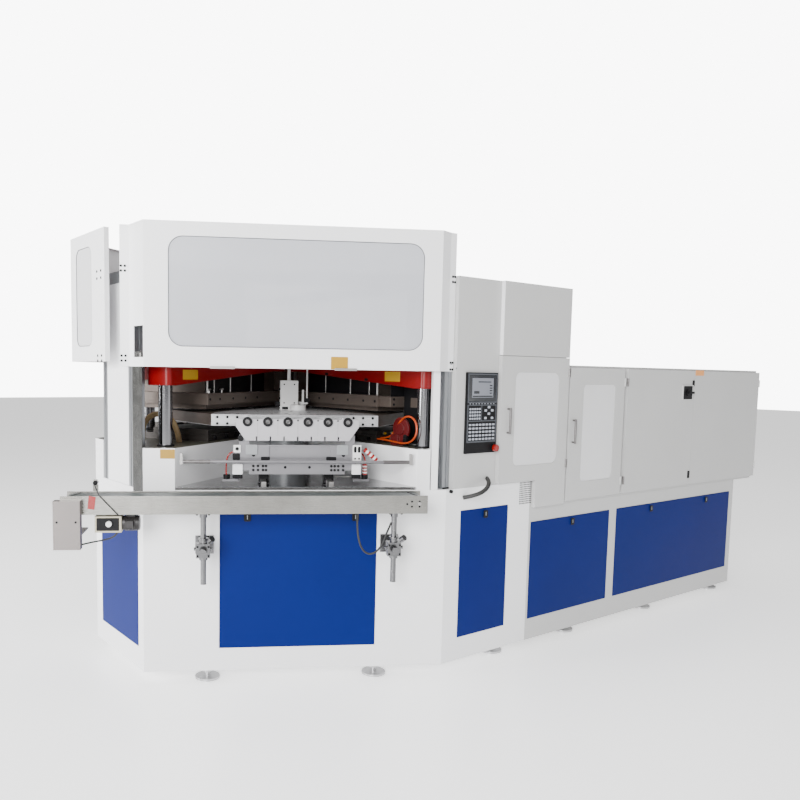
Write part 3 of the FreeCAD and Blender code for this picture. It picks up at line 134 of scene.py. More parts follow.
CARRIAGE = Finish("stripper_carriage_steel", (0.24, 0.236, 0.25), "steel", Surface.GROUND, 0.32, metallic=0.6,
                  mottle=0.25, grain=340.0, relief=0.00002, dust=0.08)
SATIN_PLATE = Finish("satin_stripper_plate", (0.42, 0.41, 0.43), "cabinet_white", Surface.GROUND, 0.36,
                     metallic=0.3, mottle=0.05, grain=340.0, relief=0.00002, dust=0.05)
LOWER_STEEL = Finish("lower_mould_steel", (0.045, 0.04, 0.036), "dark_steel", Surface.GROUND, 0.4, metallic=0.6,
                     mottle=0.5, grain=120.0, relief=0.00008, dust=0.1)
UPPER_STEEL = Finish("upper_mould_steel", (0.125, 0.1, 0.085), "dark_steel", Surface.GROUND, 0.45, metallic=0.45,
                     mottle=0.4, grain=90.0, relief=0.00008, dust=0.1)
# Painted shadow: dark brown for the shaded corners of the turret table and the dark sheet behind the turret.
PAINTED_SHADOW_BROWN = Finish("painted_shadow_brown", (0.075, 0.055, 0.045), "dark_steel", Surface.GROUND, 0.4, metallic=0.5,
                     mottle=0.5, grain=120.0, relief=0.00006, dust=0.1)
CHROME = Finish("tie_bar_chrome", (0.26, 0.26, 0.27), "bar_chrome", Surface.GROUND, 0.12, metallic=1.0, mottle=0.05,
                grain=900.0, relief=0.000008, dust=0.0, round_off=0.001)
ALUMINIUM = Finish("anodised_aluminium", (0.3, 0.31, 0.325), "aluminium", Surface.BRUSHED, 0.32, metallic=0.85,
                   mottle=0.08, grain=300.0, relief=0.00002, dust=0.03, round_off=0.001)
RED = Finish("platen_red_paint", (0.16, 0.0, 0.001), "platen_red", Surface.CAST_PAINT, 0.32, coat=0.1,
             mottle=0.25, grain=180.0, relief=0.00012, dust=0.02, round_off=0.004, specular=0.3)
GREY_PAINT = Finish("grey_machine_paint", (0.26, 0.27, 0.28), "steel_grey", Surface.CAST_PAINT, 0.42,
                    metallic=0.3, mottle=0.15, grain=300.0, relief=0.00006, dust=0.12)
BLACK = Finish("black_plastic", (0.006, 0.006, 0.007), "black_plastic", Surface.MOULDED, 0.45, mottle=0.3,
               grain=1400.0, relief=0.00003, dust=0.02, round_off=0.0008, specular=0.15)
PANEL_GREY = Finish("panel_grey_foil", (0.05, 0.055, 0.065), "black_plastic", Surface.MOULDED, 0.38, mottle=0.1,
                    grain=1400.0, relief=0.00002, dust=0.03, round_off=0.0005)
KEY_WHITE = Finish("key_white", (0.34, 0.36, 0.41), "knob_white", Surface.MOULDED, 0.4, mottle=0.1, grain=1400.0,
                   relief=0.00002, dust=0.0, round_off=0.0004)
SCREEN_GLASS = Finish("screen_glass", (0.012, 0.014, 0.018), "screen", Surface.MOULDED, 0.08, coat=0.5, mottle=0.2,
                      grain=40.0, relief=0.0, dust=0.0, round_off=0.0005)
DISPLAY = Finish("display_grey", (0.17, 0.18, 0.21), "screen", Surface.MOULDED, 0.2, coat=0.5, mottle=0.1, grain=60.0,
                 relief=0.0, dust=0.0, round_off=0.0)
STOP_RED = Finish("stop_red", (0.22, 0.002, 0.001), "stop_red", Surface.MOULDED, 0.22, coat=0.4, mottle=0.05,
                  grain=900.0, relief=0.00001, dust=0.0, round_off=0.001)
PANE = Finish("frosted_pane", (0.46, 0.47, 0.505), "frosted_pane", Surface.PANE, 0.16, mottle=0.08, grain=3.0,
              relief=0.0, dust=0.0, round_off=0.0, alpha=0.92)
DARK_PANE = Finish("tinted_end_pane", (0.05, 0.05, 0.047), "screen", Surface.PANE, 0.25, mottle=1.0,
                   grain=1400.0, relief=0.0, dust=0.0, round_off=0.0, specular=0.2)
DOOR_PANE = Finish("door_pane", (0.66, 0.66, 0.67), "frosted_pane", Surface.PANE, 0.2, mottle=0.05, grain=3.0,
                   relief=0.0, dust=0.0, round_off=0.0, alpha=0.95)
COVER_GREY = Finish("gear_cover_steel", (0.2, 0.18, 0.172), "steel", Surface.BRUSHED, 0.4, metallic=0.5, mottle=0.2,
                    grain=160.0, relief=0.00004, dust=0.1)
BRACKET_STEEL = Finish("bracket_steel", (0.16, 0.16, 0.165), "steel", Surface.BRUSHED, 0.25, metallic=0.95,
                       mottle=0.3, grain=200.0, relief=0.00003, dust=0.05)
BELT = Finish("belt_green", (0.028, 0.045, 0.048), "belt_green", Surface.MOULDED, 0.5, mottle=0.35, grain=220.0,
              relief=0.0001, dust=0.25, round_off=0.0005)
MOTOR = Finish("motor_dark_paint", (0.014, 0.012, 0.012), "motor_grey", Surface.CAST_PAINT, 0.4, metallic=0.2,
               mottle=0.2, grain=300.0, relief=0.00008, dust=0.1)
KNOB_WHITE = Finish("knob_white", (0.72, 0.72, 0.71), "knob_white", Surface.MOULDED, 0.3, mottle=0.05, grain=900.0,
                    relief=0.00001, dust=0.0, round_off=0.0006)
BEIGE = Finish("beige_bezel", (0.42, 0.38, 0.28), "knob_white", Surface.MOULDED, 0.4, mottle=0.1, grain=900.0,
               relief=0.00001, dust=0.0, round_off=0.0006)
RUBBER = Finish("black_rubber", (0.012, 0.012, 0.012), "black_rubber", Surface.MOULDED, 0.55, mottle=0.3,
                grain=900.0, relief=0.00004, dust=0.15, round_off=0.0)
TAN = Finish("tan_hose", (0.36, 0.25, 0.12), "hose_tan", Surface.MOULDED, 0.5, mottle=0.5, grain=400.0,
             relief=0.00015, dust=0.1, round_off=0.0)
ORANGE = Finish("orange_hose", (0.4, 0.05, 0.008), "hose_orange", Surface.MOULDED, 0.35, mottle=0.1, grain=700.0,
                relief=0.00003, dust=0.0, round_off=0.0)
TUBE_RED = Finish("red_air_tube", (0.28, 0.003, 0.003), "tube_red", Surface.MOULDED, 0.25, coat=0.2, mottle=0.1,
                  grain=900.0, relief=0.00001, dust=0.0, round_off=0.0)
PINK = Finish("pink_connector", (0.4, 0.06, 0.1), "tube_red", Surface.MOULDED, 0.35, mottle=0.15, grain=900.0,
              relief=0.00002, dust=0.0, round_off=0.0005)
DARK_RED = Finish("dark_red_cover", (0.09, 0.002, 0.003), "platen_red", Surface.MOULDED, 0.4, mottle=0.4,
                  grain=300.0, relief=0.00008, dust=0.1)
YELLOW = Finish("yellow_patch", (0.36, 0.2, 0.003), "hose_tan", Surface.MOULDED, 0.4, mottle=0.14, grain=700.0,
                relief=0.00002, dust=0.03, round_off=0.0)
ORANGE_PATCH = Finish("orange_patch", (0.72, 0.3, 0.09), "hose_orange", Surface.MOULDED, 0.4, mottle=0.12,
                      grain=700.0, relief=0.00002, dust=0.03, round_off=0.0)


# ------------------------------------------------------------------ shared node groups
EVEN_GRAIN = (1.0, 1.0, 1.0)
DRAWN_GRAIN = {Surface.BRUSHED: (0.06, 0.06, 1.6), Surface.GROUND: (0.12, 0.12, 1.0)}
MOTTLE_SHADE = (0.25, 0.24, 0.23, 1.0)   # colour that the mottle multiplies by
FINE_GRAIN = 1000.0                      # grains per metre from which a finish counts as a small moulding
PATCH_SCALE = {False: 2.6, True: 14.0}   # scale of the mottle on large parts and on small mouldings
ROUGH_SPREAD = 0.16                      # how far the grain moves the roughness
COAT_ROUGHNESS = 0.12
BUMP_STRENGTH = 0.35
BUMP_GAIN = 4.0                          # bump distance over the relief of the finish


def new_group(name: str, inputs: Sequence[tuple], outputs: Sequence[tuple]) -> tuple:
    """Start a shader node group.

    Args:
        name: Name of the group.
        inputs: Pairs of socket name and type, with an optional default.
        outputs: Pairs of socket name and type.

    Returns:
        The group, its input node and its output node.
    """
    group = bpy.data.node_groups.new(name, "ShaderNodeTree")
    for label, kind, *default in inputs:
        socket = group.interface.new_socket(label, in_out="INPUT", socket_type=kind)
        if default:
            socket.default_value = default[0]
    for label, kind in outputs:
        group.interface.new_socket(label, in_out="OUTPUT", socket_type=kind)
    entry = group.nodes.new("NodeGroupInput")
    leave = group.nodes.new("NodeGroupOutput")
    return group, entry, leave


def add_node(tree: bpy.types.NodeTree, kind: str, operation: str = "",
             values: dict[str | int, float] | None = None) -> bpy.types.Node:
    """Put a node into a tree.

    Args:
        tree: Tree that takes the node.
        kind: Type of the node, without its ShaderNode prefix.
        operation: Operation of a math node.
        values: Fixed values by the name or number of the input.

    Returns:
        The new node.
    """
    node = tree.nodes.new("ShaderNode" + kind)
    if operation:
        node.operation = operation
    for socket, value in (values or {}).items():
        node.inputs[socket].default_value = value
    return node


def color_mix(tree: bpy.types.NodeTree, blend: str = "MIX") -> bpy.types.Node:
    """Put a node that mixes two colours into a tree.

    Args:
        tree: Tree that takes the node.
        blend: How the colours blend.

    Returns:
        The new node, which puts out the mixed colour.
    """
    node = add_node(tree, "Mix")
    node.data_type = "RGBA"
    node.blend_type = blend
    return node


def mottle_group() -> bpy.types.NodeTree:
    """Slow change of colour over the surface, as in sprayed paint or handled metal.

    Returns:
        The node group.
    """
    group, entry, leave = new_group(
        "surface_mottle",
        [("Position", "NodeSocketVector"), ("Color", "NodeSocketColor"), ("Amount", "NodeSocketFloat", 0.1),
         ("Scale", "NodeSocketFloat", 3.0)],
        [("Color", "NodeSocketColor"), ("Mask", "NodeSocketFloat")])
    noise = add_node(group, "TexNoise", values={"Detail": 5.0, "Roughness": 0.62})
    spread = add_node(group, "MapRange", values={"From Min": 0.32, "From Max": 0.68})
    weigh = add_node(group, "Math", "MULTIPLY")
    darker = color_mix(group, "MULTIPLY")
    darker.inputs["B"].default_value = MOTTLE_SHADE
    link = group.links.new
    link(entry.outputs["Position"], noise.inputs["Vector"])
    link(entry.outputs["Scale"], noise.inputs["Scale"])
    link(noise.outputs["Fac"], spread.inputs["Value"])
    link(spread.outputs["Result"], weigh.inputs[0])
    link(entry.outputs["Amount"], weigh.inputs[1])
    link(weigh.outputs[0], darker.inputs["Factor"])
    link(entry.outputs["Color"], darker.inputs["A"])
    link(darker.outputs["Result"], leave.inputs["Color"])
    link(spread.outputs["Result"], leave.inputs["Mask"])
    return group


def grain_group() -> bpy.types.NodeTree:
    """Fine height and roughness pattern, drawn out along one axis for brushed metal.

    Returns:
        The node group.
    """
    group, entry, leave = new_group(
        "surface_grain",
        [("Position", "NodeSocketVector"), ("Stretch", "NodeSocketVector"), ("Scale", "NodeSocketFloat", 500.0),
         ("Roughness", "NodeSocketFloat", 0.4), ("Spread", "NodeSocketFloat", 0.1)],
        [("Height", "NodeSocketFloat"), ("Roughness", "NodeSocketFloat")])
    scale = add_node(group, "VectorMath", "MULTIPLY")
    noise = add_node(group, "TexNoise", values={"Detail": 2.0})
    vary = add_node(group, "Math", "SUBTRACT", {1: 0.5})
    weigh = add_node(group, "Math", "MULTIPLY")
    total = add_node(group, "Math", "ADD")
    total.use_clamp = True
    link = group.links.new
    link(entry.outputs["Position"], scale.inputs[0])
    link(entry.outputs["Stretch"], scale.inputs[1])
    link(scale.outputs[0], noise.inputs["Vector"])
    link(entry.outputs["Scale"], noise.inputs["Scale"])
    link(noise.outputs["Fac"], leave.inputs["Height"])
    link(noise.outputs["Fac"], vary.inputs[0])
    link(vary.outputs[0], weigh.inputs[0])
    link(entry.outputs["Spread"], weigh.inputs[1])
    link(weigh.outputs[0], total.inputs[0])
    link(entry.outputs["Roughness"], total.inputs[1])
    link(total.outputs[0], leave.inputs["Roughness"])
    return group


def dust_group() -> bpy.types.NodeTree:
    """Settled dust on faces that look up, and faces near the floor darkened towards the settled colour.

    Returns:
        The node group.
    """
    group, entry, leave = new_group(
        "settled_dust_and_floor_darkening",
        [("Position", "NodeSocketVector"), ("Normal", "NodeSocketVector"), ("Color", "NodeSocketColor"),
         ("Settled", "NodeSocketColor"), ("Amount", "NodeSocketFloat", 0.1)],
        [("Color", "NodeSocketColor")])
    split = add_node(group, "SeparateXYZ")
    place = add_node(group, "SeparateXYZ")
    up = add_node(group, "MapRange", values={"From Min": 0.3})
    # Faces below 0.35 m darken towards the settled colour, more the lower they are.
    foot = add_node(group, "MapRange", values={"From Min": 0.35, "From Max": 0.0, "To Max": 0.6})
    both = add_node(group, "Math", "MAXIMUM")
    noise = add_node(group, "TexNoise", values={"Scale": 9.0, "Detail": 6.0})
    patchy = add_node(group, "Math", "MULTIPLY")
    weigh = add_node(group, "Math", "MULTIPLY")
    mix = color_mix(group)
    link = group.links.new
    link(entry.outputs["Settled"], mix.inputs["B"])
    link(entry.outputs["Normal"], split.inputs[0])
    link(entry.outputs["Position"], place.inputs[0])
    link(entry.outputs["Position"], noise.inputs["Vector"])
    link(split.outputs["Z"], up.inputs["Value"])
    link(place.outputs["Z"], foot.inputs["Value"])
    link(up.outputs["Result"], both.inputs[0])
    link(foot.outputs["Result"], both.inputs[1])
    link(both.outputs[0], patchy.inputs[0])
    link(noise.outputs["Fac"], patchy.inputs[1])
    link(patchy.outputs[0], weigh.inputs[0])
    link(entry.outputs["Amount"], weigh.inputs[1])
    link(weigh.outputs[0], mix.inputs["Factor"])
    link(entry.outputs["Color"], mix.inputs["A"])
    link(mix.outputs["Result"], leave.inputs["Color"])
    return group


class PaintShop:
    """Builds each finish once, from the shared node groups."""

    def __init__(self) -> None:
        """Build the shared groups."""
        self.mottle = mottle_group()
        self.grain = grain_group()
        self.dust = dust_group()
        self.made: dict[str, bpy.types.Material] = {}

    def material(self, finish: Finish) -> bpy.types.Material:
        """Give the material of a finish.

        Args:
            finish: The finish wanted.

        Returns:
            The Blender material, built on first use.
        """
        if finish.name not in self.made:
            self.made[finish.name] = self.build(finish)
        return self.made[finish.name]

    def build(self, finish: Finish) -> bpy.types.Material:
        """Build one material.

        Args:
            finish: The finish wanted.

        Returns:
            A node material.
        """
        material = bpy.data.materials.new(finish.name)
        material.use_nodes = True
        tree = material.node_tree
        nodes, link = tree.nodes, tree.links.new
        shader = nodes["Principled BSDF"]
        place = nodes.new("ShaderNodeTexCoord")
        shape = nodes.new("ShaderNodeNewGeometry")
        mottle = self.place_group(nodes, self.mottle)
        mottle.inputs["Color"].default_value = (*finish.color, 1.0)
        mottle.inputs["Amount"].default_value = finish.mottle
        mottle.inputs["Scale"].default_value = PATCH_SCALE[finish.grain >= FINE_GRAIN]
        dust = self.place_group(nodes, self.dust)
        dust.inputs["Amount"].default_value = finish.dust
        dust.inputs["Settled"].default_value = (*finish.settled, 1.0)
        grain = self.place_group(nodes, self.grain)
        grain.inputs["Stretch"].default_value = DRAWN_GRAIN.get(finish.surface, EVEN_GRAIN)
        grain.inputs["Scale"].default_value = finish.grain
        grain.inputs["Roughness"].default_value = finish.roughness
        grain.inputs["Spread"].default_value = ROUGH_SPREAD
        for group in (mottle, dust, grain):
            link(place.outputs["Object"], group.inputs["Position"])
        link(shape.outputs["Normal"], dust.inputs["Normal"])
        link(mottle.outputs["Color"], dust.inputs["Color"])
        link(dust.outputs["Color"], shader.inputs["Base Color"])
        link(grain.outputs["Roughness"], shader.inputs["Roughness"])
        shader.inputs["Metallic"].default_value = finish.metallic
        shader.inputs["Coat Weight"].default_value = finish.coat
        shader.inputs["Coat Roughness"].default_value = COAT_ROUGHNESS
        shader.inputs["Specular IOR Level"].default_value = finish.specular
        self.add_relief(tree, shader, grain, finish)
        if finish.alpha < 1.0:
            shader.inputs["Alpha"].default_value = finish.alpha
        return material

    @staticmethod
    def place_group(nodes: bpy.types.Nodes, group: bpy.types.NodeTree) -> bpy.types.Node:
        """Put a shared group into a material and return its node.

        Args:
            nodes: Nodes of the material.
            group: Group to place.

        Returns:
            The placed node.
        """
        node = nodes.new("ShaderNodeGroup")
        node.node_tree = group
        return node

    @staticmethod
    def add_relief(tree: bpy.types.NodeTree, shader: bpy.types.Node, grain: bpy.types.Node,
                   finish: Finish) -> None:
        """Soften the edges and add the fine relief.

        Args:
            tree: Tree of the material.
            shader: Its Principled node.
            grain: Node that gives the height.
            finish: The finish being built.
        """
        normal = None
        if finish.round_off > 0.0:
            edge = tree.nodes.new("ShaderNodeBevel")
            edge.samples = 4
            edge.inputs["Radius"].default_value = finish.round_off
            normal = edge.outputs["Normal"]
        if finish.relief > 0.0:
            bump = tree.nodes.new("ShaderNodeBump")
            bump.inputs["Strength"].default_value = BUMP_STRENGTH
            bump.inputs["Distance"].default_value = finish.relief * BUMP_GAIN
            tree.links.new(grain.outputs["Height"], bump.inputs["Height"])
            if normal:
                tree.links.new(normal, bump.inputs["Normal"])
            normal = bump.outputs["Normal"]
        if normal:
            tree.links.new(normal, shader.inputs["Normal"])


SHOP = PaintShop()


# ------------------------------------------------------------------ places on the machine
@dataclass(frozen=True)
class Face:
    """A plane of the machine with its own right and outward directions.

    Attributes:
        origin: Point in machine millimetres where u and w are 0.
        right: Direction of u.
        normal: Outward direction, w.
    """

    origin: Point
    right: Point
    normal: Point

    def point(self, u: float, v: float, w: float = 0.0) -> Vector:
        """Turn (right, up, out) in mm into a point of the frame in metres."""
        local = Vector(self.origin) + Vector(self.right) * u + Vector(self.normal) * w
        return MACHINE.meters(local.x, local.y, local.z + v)


@dataclass
class Machine:
    """Where the machine's own axes lie in the frame.

    Attributes:
        front_len: Length of the slanted front face.
        reach: Distance of the turret centre behind the front face.
    """

    front_len: float = 1505.0
    reach: float = 806.9

    def __post_init__(self) -> None:
        """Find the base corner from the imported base."""
        low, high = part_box("front_base")
        self.corner_x = low[0] + self.front_len * COS30 * MM
        self.corner_y = low[1]
        self.width = (high[1] - low[1]) / MM
        self.turret = (-self.front_len / 2.0 * COS30 + self.reach * 0.5, self.width / 2.0)

    def meters(self, x: float, y: float, z: float) -> Vector:
        """Turn machine millimetres into metres of the frame."""
        return Vector((self.corner_x + x * MM, self.corner_y + y * MM, z * MM))


MACHINE = Machine()
LEFT_X = -MACHINE.front_len * COS30
OX, OY = MACHINE.turret
SIDE = Face((0.0, 0.0, 0.0), (1.0, 0.0, 0.0), (0.0, -1.0, 0.0))
FAR_SIDE = Face((0.0, MACHINE.width, 0.0), (-1.0, 0.0, 0.0), (0.0, 1.0, 0.0))
FRONT = Face((0.0, 0.0, 0.0), (COS30, -0.5, 0.0), (-0.5, -COS30, 0.0))
BACK = Face((0.0, MACHINE.width, 0.0), (-COS30, -0.5, 0.0), (-0.5, COS30, 0.0))
END = Face((LEFT_X, 0.0, 0.0), (0.0, -1.0, 0.0), (-1.0, 0.0, 0.0))
STRIP = Face((OX, OY, 0.0), (COS30, -0.5, 0.0), (-0.5, -COS30, 0.0))
INJECT_IN = Face((OX, OY, 0.0), (0.0, -1.0, 0.0), (-1.0, 0.0, 0.0))
BLOW_IN = Face((OX, OY, 0.0), (COS30, 0.5, 0.0), (0.5, -COS30, 0.0))
MOULD_END = Face((OX, OY - 600.0, 0.0), (1.0, 0.0, 0.0), (0.0, -1.0, 0.0))
LEVEL = Face((0.0, 0.0, 0.0), (1.0, 0.0, 0.0), (0.0, 1.0, 0.0))
CLAMP_SIDES = (("injection", INJECT_IN, 1.0), ("blow", BLOW_IN, -1.0))   # name, inner face, sense of u
BASE_TOP = 970.0     # top of the base, in mm above the floor
BED_TOP = 1175.0     # top of the white clamp bed
SINK = 0.5           # how far a small part reaches into what carries it
SEAL_WIDTH = 3.0     # width of the window seals


def rounded(u: tuple[float, float], v: tuple[float, float], radius: float, reach: float,
            steps: int) -> list[tuple[float, float]]:
    """Outline of a rectangle with round corners.

    Args:
        u: Left and right edges.
        v: Lower and upper edges.
        radius: Distance of the corners' centres from the edges.
        reach: Radius of the corners; less than that distance draws an inner outline.
        steps: Steps along each corner.

    Returns:
        The points (u, v), counterclockwise from the lower right corner.
    """
    points = []
    for cu, cv, start in ((u[1], v[0], -90), (u[1], v[1], 0), (u[0], v[1], 90), (u[0], v[0], 180)):
        su = -1.0 if cu == u[1] else 1.0
        sv = -1.0 if cv == v[1] else 1.0
        for step in range(steps + 1):
            angle = math.radians(start + step * 90.0 / steps)
            points.append((cu + su * radius + reach * math.cos(angle), cv + sv * radius + reach * math.sin(angle)))
    return points


def station(turn: int, rho: float, lat: float) -> tuple[float, float]:
    """Machine position of a point at one of the three stations.

    Args:
        turn: 0 for the front station, then 1 and 2 by thirds of a turn.
        rho: Distance from the turret axis along the station's normal.
        lat: Distance to the right along the station's face.

    Returns:
        The x and y in machine millimetres.
    """
    angle = math.radians(240.0 + 120.0 * turn)
    c, n = math.cos(angle), math.sin(angle)
    return OX + rho * c - lat * n, OY + rho * n + lat * c


# ------------------------------------------------------------------ mesh work
class Piece:
    """One mesh made of small forms that share a finish and a body."""

    def __init__(self, name: str, finish: Finish, body: str, bevel: float = 0.6) -> None:
        """Start an empty piece.

        Args:
            name: Name of the object.
            finish: Its finish.
            body: Body of the frame that carries it.
            bevel: Width of the edge bevel in mm, 0 for none.
        """
        self.name = name
        self.finish = finish
        self.body = body
        self.bevel = bevel
        self.mesh = bmesh.new()

    def prism(self, face: Face, outline: Sequence[tuple[float, float]], w0: float, w1: float) -> None:
        """Add a plate of any outline standing on a face.

        Args:
            face: Plane of the plate.
            outline: Corners (u, v) in mm.
            w0: Back of the plate.
            w1: Front of the plate.
        """
        back = [self.mesh.verts.new(face.point(u, v, w0)) for u, v in outline]
        front = [self.mesh.verts.new(face.point(u, v, w1)) for u, v in outline]
        self.mesh.faces.new(front)
        self.mesh.faces.new(back[::-1])
        self.skin([back, front], False)

    def block(self, face: Face, u: tuple[float, float], v: tuple[float, float], w: tuple[float, float]) -> None:
        """Add a block between pairs of (right, up, out) values."""
        outline = [(u[0], v[0]), (u[1], v[0]), (u[1], v[1]), (u[0], v[1])]
        self.prism(face, outline, w[0], w[1])

    def round_plate(self, face: Face, u: tuple[float, float], v: tuple[float, float], w: tuple[float, float],
                    radius: float) -> None:
        """Add a plate with round corners.

        Args:
            face: Plane of the plate.
            u: Left and right edges.
            v: Lower and upper edges.
            w: Back and front.
            radius: Corner radius in mm.
        """
        self.prism(face, rounded(u, v, radius, radius, 5), w[0], w[1])

    def disc(self, face: Face, u: float, v: float, w: tuple[float, float], radius: float,
             sides: int = 20) -> None:
        """Add a round disc or pin that stands on a face.

        Args:
            face: Face that the disc lies on.
            u: Centre along the face.
            v: Height of the centre.
            w: Bottom and top of the disc, out of the face.
            radius: Radius.
            sides: Sides of the polygon.
        """
        outline = [(u + radius * math.cos(2 * math.pi * k / sides), v + radius * math.sin(2 * math.pi * k / sides))
                   for k in range(sides)]
        self.prism(face, outline, w[0], w[1])

    def rod(self, start: Vector, stop: Vector, radius: float, sides: int = 16) -> None:
        """Add a round bar between two points of the frame; the radius is in mm.

        Args:
            start: Centre of the first end, in the frame.
            stop: Centre of the other end, in the frame.
            radius: Radius in mm.
            sides: Sides of the polygon.
        """
        axis = (stop - start).normalized()
        aside = axis.orthogonal().normalized()
        other = axis.cross(aside)
        rings = []
        for centre in (start, stop):
            rings.append([self.mesh.verts.new(centre + (aside * math.cos(a) + other * math.sin(a)) * radius * MM)
                          for a in (2 * math.pi * k / sides for k in range(sides))])
        self.mesh.faces.new(rings[0][::-1])
        self.mesh.faces.new(rings[1])
        self.skin(rings, False)

    def slab(self, corners: Sequence[tuple[float, float]], z0: float, z1: float) -> None:
        """Add a flat plate from its corners in machine millimetres and its two heights.

        Args:
            corners: Machine (x, y) of the corners.
            z0: Lower face.
            z1: Upper face.
        """
        low = [self.mesh.verts.new(LEVEL.point(x, z0, y)) for x, y in corners]
        high = [self.mesh.verts.new(LEVEL.point(x, z1, y)) for x, y in corners]
        self.mesh.faces.new(low[::-1])
        self.mesh.faces.new(high)
        self.skin([low, high], False)

    def skin(self, loops: Sequence[Sequence], closed: bool) -> None:
        """Join loops of points by faces, and the last with the first where closed.

        Args:
            loops: Loops of vertices, all of one length.
            closed: Whether the last loop joins the first.
        """
        pairs = list(zip(loops, loops[1:])) + ([(loops[-1], loops[0])] if closed else [])
        for first, second in pairs:
            for k in range(len(first)):
                j = (k + 1) % len(first)
                self.mesh.faces.new((first[k], first[j], second[j], second[k]))

    def screws(self, face: Face, spots: Iterable[tuple[float, float]], w: float, radius: float,
               height: float = 2.0) -> None:
        """Add round screw heads, each sunk a little into the face."""
        for u, v in spots:
            self.disc(face, u, v, (w - SINK, w + height), radius, 14)

    def done(self) -> bpy.types.Object:
        """Turn the piece into an object, dress it and put it on its body.

        Returns:
            The new object.
        """
        data = bpy.data.meshes.new(self.name)
        bmesh.ops.recalc_face_normals(self.mesh, faces=self.mesh.faces)
        self.mesh.to_mesh(data)
        self.mesh.free()
        thing = bpy.data.objects.new(self.name, data)
        bpy.context.scene.collection.objects.link(thing)
        data.materials.append(SHOP.material(self.finish))
        if self.bevel > 0.0:
            bevel = thing.modifiers.new("edges", "BEVEL")
            bevel.width = self.bevel * MM
            bevel.segments = 2
            bevel.limit_method = "ANGLE"
            bevel.angle_limit = math.radians(40.0)
        for polygon in data.polygons:
            polygon.use_smooth = False
        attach(thing, self.body)
        return thing


def dress(finish: Finish, *nodes: str) -> None:
    """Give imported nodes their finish.

    Args:
        finish: Finish that they get.
        *nodes: Names of the nodes.
    """
    for node in nodes:
        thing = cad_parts[node]
        if not thing.material_slots:
            thing.data.materials.append(None)
        for holder in thing.material_slots:
            holder.material = SHOP.material(finish)


def grid(u: Sequence[float], v: Sequence[float]) -> list[tuple[float, float]]:
    """All pairs of the given columns and rows."""
    return [(a, b) for a in u for b in v]


